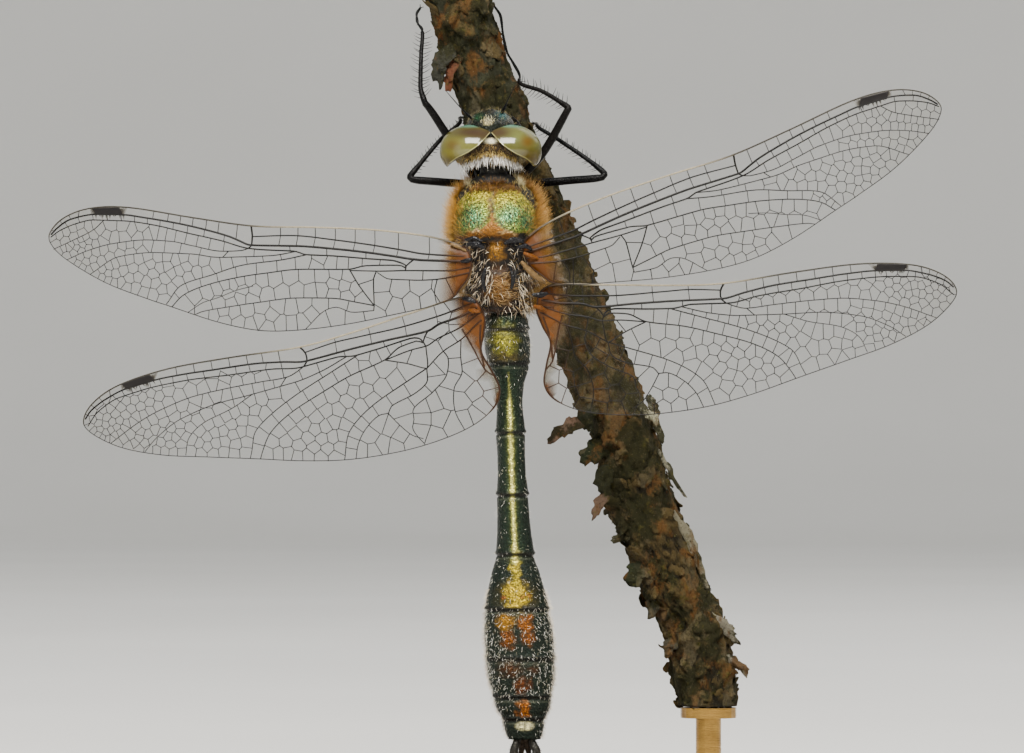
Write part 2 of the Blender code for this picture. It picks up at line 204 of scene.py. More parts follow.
def finish_piece(mesh, name, finish, replaced=()):
    mesh.materials.clear()
    mesh.materials.append(finish)
    mesh.shade_smooth()
    piece = bpy.data.objects.new(name, mesh)
    bpy.context.scene.collection.objects.link(piece)
    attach(piece, "root")
    if replaced:
        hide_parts(*replaced)
    return piece


def grid_faces(rows, columns):
    """Faces of a tube of rings, with both ends closed by a middle point that follows the rings."""
    ring = np.arange(rows * columns).reshape(rows, columns)
    after = np.roll(ring, -1, axis=1)
    faces = np.stack([ring[:-1], after[:-1], after[1:], ring[1:]], axis=-1).reshape(-1, 4).tolist()
    first, top = rows * columns, (rows - 1) * columns
    for column, beside in enumerate(after[0].tolist()):
        faces += [(beside, column, first), (top + column, top + beside, first + 1)]
    return faces


def ring_surface(rings):
    """Points and faces of a closed tube over an array of rings."""
    rows, columns = rings.shape[:2]
    ends = [rings[0].mean(axis=0), rings[-1].mean(axis=0)]
    return np.vstack([rings.reshape(-1, 3), ends]), grid_faces(rows, columns)


CAPS = np.array([0.35, 0.80])  # where a tube's round end has its rings
CAP_LENGTH = 0.8


def tube(path, radii, sides, flat=1.0, flat_towards=BACK):
    """A round-ended tube along a path. flat squeezes it along flat_towards."""
    path, radii = np.asarray(path, float), np.asarray(radii, float)
    along = unit(np.gradient(path, axis=0))
    start = path[0] - along[0] * radii[0] * (1 - CAPS[:, None]) * CAP_LENGTH
    end = path[-1] + along[-1] * radii[-1] * CAPS[:, None] * CAP_LENGTH
    path = np.vstack([start, path, end])
    radii = np.concatenate([radii[0] * np.sqrt(CAPS), radii, radii[-1] * np.sqrt(1 - CAPS)])
    along = np.vstack([along[:1], along[:1], along, along[-1:], along[-1:]])
    across = np.cross(along[0], flat_towards)
    if np.linalg.norm(across) < 0.1:
        across = np.cross(along[0], SIDE)
    rings = []
    turn = full_turn(sides)
    for point, direction, radius in zip(path, along, radii):
        across = unit(across - direction * (across @ direction))
        deep = np.cross(direction, across)
        ring = np.outer(np.cos(turn), across) + flat * np.outer(np.sin(turn), deep)
        rings.append(point + radius * ring)
    return ring_surface(np.array(rings))


# Finishes


def add_node(tree, kind, inputs=(), **settings):
    """A shader node with its settings, and with each input set to a value or linked to a socket."""
    node = tree.nodes.new("ShaderNode" + kind)
    for key, value in settings.items():
        setattr(node, key, value)
    for key, value in dict(inputs).items():
        if isinstance(value, bpy.types.NodeSocket):
            tree.links.new(value, node.inputs[key])
        else:
            node.inputs[key].default_value = value
    return node


def tinted(tree, base, other, factor, blend="MIX"):
    """The colour socket of a mix of two colours."""
    inputs = {0: factor, 6: base, 7: other}
    for key in (6, 7):
        if isinstance(inputs[key], tuple):
            inputs[key] = (*inputs[key], 1.0)
    return add_node(tree, "Mix", inputs, data_type="RGBA", blend_type=blend).outputs[2]


def ranged(tree, value, low, high, new_low=0.0, new_high=1.0):
    inputs = {0: value, 1: low, 2: high, 3: new_low, 4: new_high}
    return add_node(tree, "MapRange", inputs).outputs[0]


def times(tree, first, second):
    return add_node(tree, "Math", {0: first, 1: second}, operation="MULTIPLY").outputs[0]


def times_plus(tree, first, second, added):
    return add_node(tree, "Math", {0: first, 1: second, 2: added}, operation="MULTIPLY_ADD").outputs[0]


def millimetres(tree):
    """Object coordinates, in millimetres."""
    where = add_node(tree, "TexCoord").outputs["Object"]
    return add_node(tree, "VectorMath", {0: where, "Scale": 1 / MM}, operation="SCALE").outputs[0]


def squeezed(tree, where, scale):
    """The same places with each axis scaled, so that a pattern is drawn out."""
    return add_node(tree, "Mapping", {"Vector": where, "Scale": scale}).outputs[0]


def cloud(tree, where, scale, detail, roughness=0.5):
    """The value of a cloudy pattern at a place."""
    inputs = {"Vector": where, "Scale": scale, "Detail": detail, "Roughness": roughness}
    return add_node(tree, "TexNoise", inputs).outputs[0]


def own_attributes(tree):
    """The piece's own colour, and its three traits."""
    tint = add_node(tree, "Attribute", attribute_name="tint").outputs["Color"]
    trait = add_node(tree, "Attribute", attribute_name="trait").outputs["Color"]
    return tint, *add_node(tree, "SeparateColor", {0: trait}).outputs[:3]


def feed(tree, shader, sockets):
    """Links sockets to the shader's inputs, by their names."""
    for name, socket in sockets.items():
        tree.links.new(socket, shader.inputs[name])


def build_grain_group():
    """Fine uneven grain that several finishes share: a shade around 1, and a height."""
    group = bpy.data.node_groups.new("fine_grain", "ShaderNodeTree")
    for name, kind in (("Vector", "Vector"), ("Size", "Float"), ("Spread", "Float")):
        group.interface.new_socket(name, in_out="INPUT", socket_type="NodeSocket" + kind)
    for name in ("Shade", "Height"):
        group.interface.new_socket(name, in_out="OUTPUT", socket_type="NodeSocketFloat")
    source, target = group.nodes.new("NodeGroupInput").outputs, group.nodes.new("NodeGroupOutput").inputs
    rate = add_node(group, "Math", {0: 1.0, 1: source["Size"]}, operation="DIVIDE").outputs[0]
    soft = cloud(group, source["Vector"], rate, 5.0)
    pits = add_node(group, "TexVoronoi", {"Vector": source["Vector"], "Scale": rate}).outputs["Distance"]
    shade = times_plus(group, ranged(group, soft, 0.3, 0.7, -1.0, 1.0), source["Spread"], 1.0)
    height = add_node(group, "Math", {0: soft, 1: pits}, operation="ADD").outputs[0]
    group.links.new(shade, target["Shade"])
    group.links.new(height, target["Height"])
    return group


GRAIN = build_grain_group()


def new_finish(name, shader_values=()):
    """A material and its node tree and shader, with its constant values on the shader's own sockets."""
    made = bpy.data.materials.new(name)
    made.use_nodes = True
    shader = made.node_tree.nodes["Principled BSDF"]
    for key, value in dict(shader_values).items():
        shader.inputs[key].default_value = value
    return made, made.node_tree, shader


def grain(tree, size, spread):
    """The shade and the height of the shared grain, for grains of a size and an unevenness."""
    node = tree.nodes.new("ShaderNodeGroup")
    node.node_tree = GRAIN
    tree.links.new(millimetres(tree), node.inputs["Vector"])
    node.inputs["Size"].default_value = size
    node.inputs["Spread"].default_value = spread
    return node.outputs["Shade"], node.outputs["Height"]


def bump(tree, shader, height, depth):
    """Raises the surface by the height, whose whole range is depth millimetres."""
    inputs = {"Height": height, "Distance": depth * MM, "Strength": 1.0}
    feed(tree, shader, {"Normal": add_node(tree, "Bump", inputs).outputs[0]})


GLAZE_FADE = (0.11, 0.24)  # how far the surface has turned away where a glossy coat starts and stops fading


def painted_finish(name, size, spread, depth, clear=False, glaze=0.0, **shader_values):
    """A finish whose colour, metal share and roughness come from the piece's own attributes, broken by grain.

    glaze is the weight of a clear glossy coat, which fades towards the shape's outline.
    """
    values = {key.replace("_", " "): value for key, value in shader_values.items()}
    made, tree, shader = new_finish(name, values)
    tint, metal, rough, alpha = own_attributes(tree)
    shade, height = grain(tree, size, spread)
    colour = tinted(tree, tint, shade, 1.0, "MULTIPLY")
    feed(tree, shader, {"Base Color": colour, "Metallic": metal, "Roughness": times(tree, rough, shade)})
    if clear:
        feed(tree, shader, {"Alpha": alpha})
    if glaze:
        facing = add_node(tree, "LayerWeight", {"Blend": 0.5}).outputs["Facing"]
        feed(tree, shader, {"Coat Weight": ranged(tree, facing, *GLAZE_FADE, glaze, 0.0)})
    bump(tree, shader, height, depth)
    return made


def cuticle_finish():
    """Chitin in the piece's own colour and metal share, pitted and speckled as its third trait says; the
    light specks are painted glints on the metal.
    """
    made, tree, shader = new_finish("body_cuticle", {"Specular IOR Level": 0.22})
    where = millimetres(tree)
    tint, metal, rough, speckle = own_attributes(tree)
    shade, height = grain(tree, 0.16, 0.25)
    pits = add_node(tree, "TexVoronoi", {"Vector": where, "Scale": 7.0}).outputs["Distance"]
    specks = cloud(tree, where, 6.5, 3.0, 0.7)
    darkened = times(tree, ranged(tree, specks, 0.50, 0.38), speckle)
    # The light specks are painted glints: the colour is made brighter where the metal would sparkle.
    painted_glint_specks = times(tree, ranged(tree, specks, 0.56, 0.68), speckle)
    colour = tinted(tree, tint, shade, 1.0, "MULTIPLY")
    colour = tinted(tree, colour, (0.020, 0.018, 0.012), darkened)
    painted_glint_colour = tinted(tree, colour, (2.6, 2.5, 1.9), 1.0, "MULTIPLY")
    painted_glint_colour = tinted(tree, painted_glint_colour, (0.04, 0.035, 0.012), 1.0, "ADD")
    colour = tinted(tree, colour, painted_glint_colour, painted_glint_specks)
    feed(tree, shader, {"Base Color": colour, "Metallic": metal, "Roughness": times(tree, rough, shade)})
    bump(tree, shader, times_plus(tree, pits, speckle, height), 0.05)
    return made


def bark_finish():
    """Grey-brown scales over red-brown underbark, with a dark olive lichen film."""
    made, tree, shader = new_finish("pine_bark", {"Specular IOR Level": 0.15})
    where = millimetres(tree)
    colour = add_node(tree, "Attribute", attribute_name="tint").outputs["Color"]
    stretched = squeezed(tree, where, (1.0, 1.0, 0.55))
    scales = add_node(tree, "TexVoronoi", {"Vector": stretched, "Scale": 0.9, "Randomness": 1.0})
    per_scale = add_node(tree, "SeparateColor", {0: scales.outputs["Color"]}).outputs[0]
    mottle = cloud(tree, where, 1.6, 8.0, 0.72)
    grit = cloud(tree, where, 7.0, 6.0, 0.75)
    film = cloud(tree, where, 0.42, 6.0, 0.68)
    patches = cloud(tree, stretched, 0.62, 5.0, 0.6)
    for layer, pattern, low, high, share in (
        ((0.120, 0.054, 0.013), patches, 0.52, 0.60, 0.85),
        ((0.150, 0.125, 0.070), per_scale, 0.62, 1.0, 0.45),
        ((0.021, 0.021, 0.006), film, 0.47, 0.54, 0.90),
        ((0.090, 0.080, 0.012), mottle, 0.56, 0.66, 0.60),
        ((0.006, 0.005, 0.002), grit, 0.54, 0.66, 0.90),
        ((0.40, 0.37, 0.24), grit, 0.38, 0.31, 0.55),
    ):
        colour = tinted(tree, colour, layer, ranged(tree, pattern, low, high, 0.0, share))
    feed(tree, shader, {"Base Color": colour, "Roughness": ranged(tree, grit, 0.3, 0.7, 0.95, 0.75)})
    bump(tree, shader, times_plus(tree, grit, 1.4, mottle), 0.35)
    return made


def walnut_finish():
    """Oiled walnut with its grain along x, and open pores."""
    made, tree, shader = new_finish("stand_walnut", {"Specular IOR Level": 0.3})
    where = millimetres(tree)
    rings = cloud(tree, squeezed(tree, where, (0.012, 0.16, 0.16)), 1.0, 2.0)
    pores = cloud(tree, squeezed(tree, where, (0.5, 7.0, 7.0)), 1.0, 4.0)
    wave = add_node(tree, "Math", {0: times(tree, rings, 60.0)}, operation="SINE").outputs[0]
    colour = tinted(tree, (0.030, 0.014, 0.006), (0.056, 0.027, 0.011), ranged(tree, wave, -1.0, 1.0))
    colour = tinted(tree, colour, (0.012, 0.006, 0.003), ranged(tree, pores, 0.56, 0.70, 0.0, 0.8))
    feed(tree, shader, {"Base Color": colour, "Roughness": ranged(tree, pores, 0.3, 0.7, 0.36, 0.58)})
    bump(tree, shader, ranged(tree, pores, 0.7, 0.5), 0.05)
    return made


def brass_finish():
    """Turned brass, with fine rings round the rod and a little tarnish."""
    made, tree, shader = new_finish("stand_brass", {"Metallic": 1.0})
    where = millimetres(tree)
    lines = cloud(tree, squeezed(tree, where, (0.3, 0.3, 16.0)), 1.0, 3.0)
    stain = ranged(tree, cloud(tree, where, 0.5, 5.0), 0.45, 0.70)
    colour = tinted(tree, (0.36, 0.21, 0.055), (0.20, 0.11, 0.03), stain)
    feed(tree, shader, {"Base Color": colour, "Roughness": ranged(tree, lines, 0.3, 0.7, 0.20, 0.38)})
    bump(tree, shader, lines, 0.01)
    return made


def floor_finish():
    made, tree, shader = new_finish("pale_floor", {"Specular IOR Level": 0.2})
    shade = ranged(tree, cloud(tree, millimetres(tree), 0.01, 2.0), 0.3, 0.7)
    colour = tinted(tree, (0.70, 0.69, 0.66), (0.73, 0.72, 0.69), shade)
    feed(tree, shader, {"Base Color": colour, "Roughness": ranged(tree, shade, 0.0, 1.0, 0.85, 0.95)})
    return made


CUTICLE = cuticle_finish()
CORNEA = painted_finish(
    "eye_cornea", 0.05, 0.06, 0.003, glaze=1.0, Coat_Roughness=0.03, Specular_IOR_Level=0.12
)
LIMB = painted_finish("leg_cuticle", 0.10, 0.35, 0.020, Specular_IOR_Level=0.08)
VEIN = painted_finish("wing_vein", 0.12, 0.30, 0.010, Specular_IOR_Level=0.20)
MEMBRANE = painted_finish("wing_membrane", 0.60, 0.10, 0.012, clear=True, Specular_IOR_Level=0.22)
HAIR = painted_finish("hair", 0.35, 0.22, 0.004)
BARK = bark_finish()


# Skin: one surface over the abdomen, trunk, neck, head capsule and face

HEAD = np.array([-1.65, 0.90, 60.46])
SKIN_NODES = [f"abdomen_{number:02d}" for number in range(10, 0, -1)] + ["thorax", "prothorax", "neck"]
# Heights on the body: the foot of the thorax, where saddle and shields meet, the collar, and the head.
THORAX_FOOT, SADDLE_TOP, COLLAR_TOP, NECK_TOP = 46.9, 52.9, 57.2, 57.9
COLLAR_X = -1.42  # the middle of the collar
# How squarely the back and sides meet, at heights up the body.
SQUARES = ((46.9, 48.5, 52.5, 55.0, 57.0, 58.0), (2.0, 2.6, 2.7, 2.4, 2.2, 2.0))
# How deep the skin lies under the coat's outline, at heights up the body.
COAT_DEPTHS = ((13.0, 44.0, 46.5, 48.5, 55.5, 57.2, 58.2), (0.05, 0.06, 0.20, 0.42, 0.42, 0.22, 0.05))
# Head rings, from the head's centre: height, half width, back, belly.
HEAD_RINGS = [
    (-2.05, 1.3, -0.75, 1.55), (-2.0, 1.95, -1.1, 1.55), (-1.86, 2.45, -1.38, 1.65),
    (-1.55, 2.84, -1.64, 1.9), (-1.1, 3.08, -1.84, 2.1), (-0.6, 3.16, -1.94, 2.3),
    (-0.1, 2.95, -1.88, 2.4), (0.3, 2.3, -1.6, 2.7), (0.6, 1.86, -1.42, 3.1),
    (0.95, 1.84, -1.42, 3.4), (1.35, 1.78, -1.26, 3.4), (1.72, 1.56, -0.92, 3.15),
    (2.0, 1.24, -0.48, 2.75), (2.24, 0.8, 0.1, 2.2), (2.37, 0.32, 0.62, 1.6),
]
SKIN_STEP = 0.115
SKIN_COLUMNS = 120


def cad_rings(node):
    """A lofted node's level rings, foot first: height, centre x, half width, back y, belly y."""
    points = cad_points(node)
    points = points[np.argsort(points[:, 2])]
    breaks = np.where(np.diff(points[:, 2]) > 0.02)[0] + 1
    rows = []
    for ring in np.split(points, breaks):
        low, high = ring.min(axis=0), ring.max(axis=0)
        rows.append((ring[:, 2].mean(), (low[0] + high[0]) / 2, (high[0] - low[0]) / 2, low[1], high[1]))
    return rows


BODY_RINGS = [row for node in SKIN_NODES for row in cad_rings(node)]
JOINTS = [cad_rings(node)[-1][0] for node in SKIN_NODES[:10]]  # the abdomen's seams, tail first


def skin_frame():
    """The skin's plain rings, out directions, and each point's place round the body (-1 is the back)."""
    head_x, head_y, head_z = HEAD
    head = [(head_z + z, head_x, half, head_y + back, head_y + belly) for z, half, back, belly in HEAD_RINGS]
    knots = np.array(BODY_RINGS + head)
    inset = np.interp(knots[:, 0], *COAT_DEPTHS)
    inset[len(BODY_RINGS):] = 0.0
    knots[:, 2] -= inset
    knots[:, 3] += inset
    knots[:, 4] -= inset
    reach = np.concatenate([[0.0], np.cumsum(np.hypot(np.diff(knots[:, 0]), np.diff(knots[:, 2])))])
    rows = smooth_values(reach, knots, np.linspace(0.0, reach[-1], int(reach[-1] / SKIN_STEP)))
    square = 2 / np.interp(rows[:, 0], *SQUARES)[:, None]
    angle = full_turn(SKIN_COLUMNS)
    across = np.sign(np.cos(angle)) * np.abs(np.cos(angle)) ** square
    deep = np.sign(np.sin(angle)) * np.abs(np.sin(angle)) ** square
    wide, half_depth = rows[:, 2:3] * across, (rows[:, 4:5] - rows[:, 3:4]) / 2 * deep
    cosine, sine = math.cos(BODY_ROLL), math.sin(BODY_ROLL)
    points = np.stack([
        rows[:, 1:2] + wide * cosine - half_depth * sine,
        (rows[:, 3:4] + rows[:, 4:5]) / 2 + wide * sine + half_depth * cosine,
        np.broadcast_to(rows[:, :1], wide.shape),
    ], axis=-1)
    return points, surface_normals(points), np.broadcast_to(np.sin(angle), wide.shape), rows


def surface_normals(grid):
    """Out directions of a grid of rings."""
    up = np.gradient(grid, axis=0)
    turned = np.roll(grid, -1, axis=1) - np.roll(grid, 1, axis=1)
    normals = unit(np.cross(turned, up))
    middle = grid.mean(axis=1, keepdims=True)
    facing = ((grid - middle) * normals).sum(axis=-1).mean()
    return normals if facing > 0 else -normals


# Lumps and hollows of the thorax between the wings: x, z, reach x, reach z, height.
BACK_LUMPS = [
    (-1.2, 51.78, 0.55, 0.55, 0.32), (-0.93, 48.68, 0.95, 0.9, 0.34), (-2.65, 52.6, 0.75, 0.2, 0.22),
    (0.42, 52.62, 0.85, 0.2, 0.22), (-2.45, 50.6, 0.55, 1.1, -0.22), (0.15, 50.6, 0.55, 1.1, -0.22),
    (-1.15, 50.35, 0.7, 0.28, -0.2), (-2.55, 48.9, 0.4, 0.7, 0.16), (0.75, 49.1, 0.4, 0.7, 0.16),
    (-3.05, 54.6, 0.95, 1.4, 0.16), (0.3, 54.6, 1.05, 1.4, 0.16), (-2.1, 52.15, 1.1, 0.14, -0.16),
    (-0.2, 52.15, 1.1, 0.14, -0.16), (-1.0, 47.55, 1.2, 0.18, -0.14),
]
CREST_X, CREST_TOP, CREST_FOOT = -1.60, 56.6, 54.2
WEDGE_TOP, WEDGE_FOOT, WEDGE_HALF, WEDGE_TIP = 54.6, 52.85, 1.95, 0.08
TAIL_FOLDS = (39.98, 35.76)  # fine folds across two of the abdomen's segments


def wedge_mask(x, z):
    """The orange wedge in front of the wings, narrow at its top."""
    down = np.clip((WEDGE_TOP - z) / (WEDGE_TOP - WEDGE_FOOT), 0, 1)
    half = WEDGE_TIP + (WEDGE_HALF - WEDGE_TIP) * down**2.1
    inside = 1 - smoothstep(half - 0.12, half + 0.12, np.abs(x - CREST_X - 0.05))
    return inside * smoothstep(WEDGE_FOOT - 0.1, WEDGE_FOOT + 0.1, z) * (z < WEDGE_TOP + 0.1)


def skin_relief(x, z, back, middle):
    """How far the skin stands out of its plain rings, in millimetres."""
    relief = np.zeros_like(x)
    for joint in JOINTS:
        relief += 0.12 * ridge(z - joint - 0.20, 0.15) - 0.11 * ridge(z - joint, 0.08)
    for fold in TAIL_FOLDS:
        relief -= 0.03 * ridge(z - fold, 0.06)
    keel = ridge(x - middle, 0.06) * back * (z < 46.0)
    relief += 0.045 * keel
    thorax = (z > THORAX_FOOT) & (z < COLLAR_TOP)
    for centre_x, centre_z, reach_x, reach_z, height in BACK_LUMPS:
        distance = np.hypot((x - centre_x) / reach_x, (z - centre_z) / reach_z)
        relief += height * ridge(distance, 1.0) * back * thorax
    crest = ridge(x - CREST_X, 0.09) * smoothstep(CREST_FOOT, CREST_FOOT + 0.4, z) * (z < CREST_TOP)
    relief += 0.09 * crest * back
    relief += 0.13 * wedge_mask(x, z) * back
    brow = spot(x, z, HEAD[0], HEAD[2] + 1.95, 0.52, 0.34) * 0.22
    dents = sum(spot(x, z, HEAD[0] + side * 0.85, HEAD[2] + 1.55, 0.30, 0.26) for side in (-1, 1))
    groove = ridge(x - HEAD[0], 0.07) * (z > HEAD[2] + 2.1) * 0.05
    return relief + (brow - 0.10 * dents - groove) * back


def paint_layers(count):
    """Colour and trait arrays, and a function that lays a colour over them by a mask."""
    tint = np.tile(np.array(NIGHT), (count, 1))
    trait = np.tile(np.array([0.55, 0.34, 0.4]), (count, 1))

    def lay(mask, colour, metal=None, rough=None, speckle=None):
        share = np.clip(mask, 0.0, 1.0)[:, None]
        tint[:] = tint * (1 - share) + np.array(colour) * share
        for column, value in ((0, metal), (1, rough), (2, speckle)):
            if value is not None:
                trait[:, column] += (value - trait[:, column]) * share[:, 0]

    return tint, trait, lay


def ragged(x, z, reach, size, seed):
    """The same places moved about a little, so that markings get uneven edges."""
    places = list(zip(x / size, z / size))
    along_x, along_z = (
        np.array([noise.noise(Vector((*at, depth))) for at in places]) for depth in (seed, seed + 9.0)
    )
    return x + reach * along_x, z + reach * along_z


# How wide the gold keel streak is along the abdomen; the streak is partly the keel's own gold and partly a
# painted highlight.
KEEL_STREAK_AND_HIGHLIGHT_WIDTHS = ((27.6, 29.0, 33.0, 38.0, 40.0, 41.5, 42.6), (0.22, 0.13, 0.13, 0.15, 0.12, 0.07, 0.04))
# Markings on the abdomen's back: offset from its middle, height, reach x, reach z, edge, strength, colour.
TAIL_MARKS = [
    (-0.25, 44.75, 0.85, 1.05, 0.8, 0.90, (0.20, 0.185, 0.018)),
    (-0.10, 43.45, 1.25, 0.35, 0.6, 0.60, (0.075, 0.050, 0.016)),
    (0.00, 24.80, 1.25, 1.10, 0.8, 0.55, (0.075, 0.050, 0.008)),
    (0.00, 26.30, 0.28, 1.90, 0.7, 0.90, (0.30, 0.232, 0.010)),
    (-0.05, 25.00, 0.85, 0.90, 0.6, 0.95, (0.35, 0.250, 0.008)),
    (-0.95, 24.95, 0.24, 0.20, 0.8, 0.90, (0.13, 0.025, 0.010)),
    (0.55, 24.95, 0.24, 0.20, 0.8, 0.90, (0.13, 0.025, 0.010)),
    (-1.00, 22.85, 0.66, 0.58, 0.6, 0.90, (0.215, 0.098, 0.004)),
    (-0.85, 21.55, 0.50, 0.55, 0.6, 0.90, (0.135, 0.037, 0.002)),
    (0.62, 22.90, 0.52, 0.66, 0.5, 0.90, (0.160, 0.046, 0.002)),
    (0.72, 21.70, 0.50, 0.52, 0.6, 0.90, (0.135, 0.037, 0.002)),
    (-0.85, 19.35, 0.70, 0.50, 0.9, 0.80, (0.050, 0.014, 0.003)),
    (0.85, 19.30, 0.40, 0.35, 0.9, 0.60, (0.045, 0.012, 0.003)),
    (0.05, 18.00, 0.50, 0.55, 0.8, 0.90, (0.090, 0.021, 0.003)),
    (0.05, 16.15, 0.46, 0.72, 0.5, 0.95, (0.180, 0.052, 0.003)),
]


def abdomen_paint(lay, x, z, back, middle):
    """Black-green plates with a gold keel streak that is partly a painted highlight, and gold, copper and
    cream patches towards the tail.
    """
    low = z < 47.0
    lay(low * 1.0, BOTTLE, 0.55, 0.36, 0.35)
    rough_x, rough_z = ragged(x, z, 0.55, 0.42, 3.0)
    aside = np.abs(x + 0.2 * (rough_x - x) - middle)
    on_back = back * low
    lay(on_back * ridge(aside, 0.80) * (z > 27.9), (0.011, 0.021, 0.013), 0.7, 0.30)
    # The gold keel streak and its green halo: partly the keel's own colour, partly a painted highlight along
    # the keel.
    streak = np.interp(z, *KEEL_STREAK_AND_HIGHLIGHT_WIDTHS)
    keel_streak_and_highlight = (z > 27.4) * (z < 42.4) * back
    dim = 0.25 + 0.75 * smoothstep(40.5, 40.0, z)
    lay(keel_streak_and_highlight * ridge(aside, streak * 2.2) * 0.8 * dim, (0.060, 0.072, 0.012), 0.8, 0.28, 0.5)
    lay(keel_streak_and_highlight * ridge(aside, streak) * dim, (0.66, 0.62, 0.17), 0.8, 0.26, 0.4)
    for offset, height, *reach, strength, colour in TAIL_MARKS:
        mask = spot(rough_x, rough_z, middle + offset, height, *reach)
        lay(mask * on_back * strength, colour, 0.7, 0.34, 1.0)
    cream = spot(x, z, middle + 0.05, 14.85, 0.66, 0.34, 0.35) * (1 - 0.8 * ridge(x - middle - 0.05, 0.07))
    lay(cream * on_back, (0.50, 0.47, 0.25), 0.3, 0.45, 0.8)
    for joint in JOINTS:
        lay(ridge(z - joint - 0.12, 0.24) * 0.98, (0.0015, 0.0020, 0.0015), 0.3, 0.36, 0.4)
        # A faint pale line on the back beside each joint: painted highlight on the segment's rim.
        lay(ridge(z - joint + 0.24, 0.06) * 0.35 * back, (0.10, 0.11, 0.075), 0.5, 0.35, 0.2)
    lay(smoothstep(0.3, 0.1, back) * low, (0.006, 0.008, 0.006), 0.4, 0.45, 0.2)


SHIELD_Z, SHIELDS = 55.1, ((-2.88, 1.25), (0.22, 1.66))  # the shields' height, and their middle x and reach
# Teal clouds on the green and gold shields: x, z, reach x, reach z.
SHIELD_TEALS = [(-3.05, 54.25, 0.90, 0.95), (-0.05, 54.35, 1.05, 0.80), (1.15, 53.90, 0.50, 0.55)]
# Knobs between the wings: x, z, reach x, reach z, edge, colour, metal, roughness, speckle.
SADDLE_KNOBS = [
    (-1.20, 51.70, 0.62, 0.72, 0.50, (0.17, 0.074, 0.004), 0.3, 0.28, 0.8),
    (-0.93, 48.70, 1.15, 1.05, 0.45, (0.085, 0.034, 0.003), 0.3, 0.30, 0.8),
    (-1.15, 50.35, 0.90, 0.25, 0.80, (0.035, 0.014, 0.003), 0.2, 0.40, 0.5),
]
# Glints on the face, from the head's middle: x, z, reach x, reach z, edge, colour, metal, roughness, speckle.
FACE_GLINTS = [
    (0.95, 2.00, 0.40, 0.34, 0.8, (0.008, 0.085, 0.080), 0.85, 0.26, 0.4),
    (-1.00, 1.80, 0.38, 0.28, 0.8, (0.018, 0.065, 0.028), 0.85, 0.28, 0.4),
]


def dome(x):
    """The height where the rusty collar ends and the black painted shadow over the neck starts."""
    return 57.12 - 0.21 * (x - COLLAR_X) ** 2


def thorax_paint(lay, x, z, back):
    """Rusty sides, green and gold shields in front, a black saddle with orange knobs, and black painted
    shadow over the neck above the collar.
    """
    rough_x, rough_z = ragged(x, z, 0.40, 0.50, 5.0)

    def blot(*ellipse):
        return spot(rough_x, rough_z, *ellipse)

    trunk = smoothstep(THORAX_FOOT, 47.3, z) * (z < NECK_TOP)
    lay(trunk, (0.070, 0.026, 0.005), 0.0, 0.6, 0.3)
    on_back = trunk * back
    front = on_back * (z > SADDLE_TOP) * (z < COLLAR_TOP)
    for centre, reach in SHIELDS:
        lay(front * blot(centre, SHIELD_Z, reach, 2.15, 0.25), (0.27, 0.235, 0.016), 0.85, 0.30, 1.0)
    for centre_x, centre_z, reach_x, reach_z in SHIELD_TEALS:
        halo = front * blot(centre_x, centre_z, reach_x * 1.35, reach_z * 1.3, 0.9)
        lay(halo, (0.115, 0.190, 0.022), 0.85, 0.30)
        lay(front * blot(centre_x, centre_z, reach_x, reach_z, 0.9) * 0.9, (0.055, 0.150, 0.080), 0.9, 0.28)
    crest = ridge(rough_x - CREST_X, 0.17) * (z > 54.3)
    lay(front * crest, (0.050, 0.040, 0.034), 0.3, 0.45, 0.6)
    saddle = on_back * (z < 53.1)
    hollow = 1 - smoothstep(2.1, 2.8, np.abs(x + 1.15))
    lay(saddle * hollow, (0.004, 0.0035, 0.003), 0.1, 0.5, 0.1)
    lay(on_back * wedge_mask(x, z), (0.150, 0.058, 0.004), 0.3, 0.40, 0.35)
    wedge_rim = ridge(np.abs(x - CREST_X) - (54.5 - z) - 0.05, 0.10) * (z > SADDLE_TOP) * (z < 54.4)
    lay(on_back * wedge_rim, (0.03, 0.015, 0.01), 0.2, 0.4)
    for side in (-1, 1):
        skirt = blot(CREST_X + side * 1.20, 53.05, 0.80, 0.28, 0.5)
        lay(on_back * skirt, (0.115, 0.044, 0.004), 0.3, 0.4, 0.6)
        streak = blot(CREST_X + side * 1.30, 53.20, 0.55, 0.09, 0.7)
        lay(on_back * streak * 0.8, (0.36, 0.26, 0.12), 0.0, 0.4, 0.5)
    lay(saddle * ridge(z - 52.30, 0.16), (0.010, 0.010, 0.012), 0.4, 0.20, 0.0)
    for *ellipse, colour, metal, rough, speckle in SADDLE_KNOBS:
        lay(saddle * blot(*ellipse), colour, metal, rough, speckle)
    # Painted shadow: the neck above the collar is painted black where it lies in shadow under the head.
    neck = smoothstep(-0.04, 0.10, z - dome(x)) * smoothstep(0.0, 0.1, back)
    lay(trunk * neck, (0.003, 0.003, 0.0025), 0.0, 0.6, 0.0)


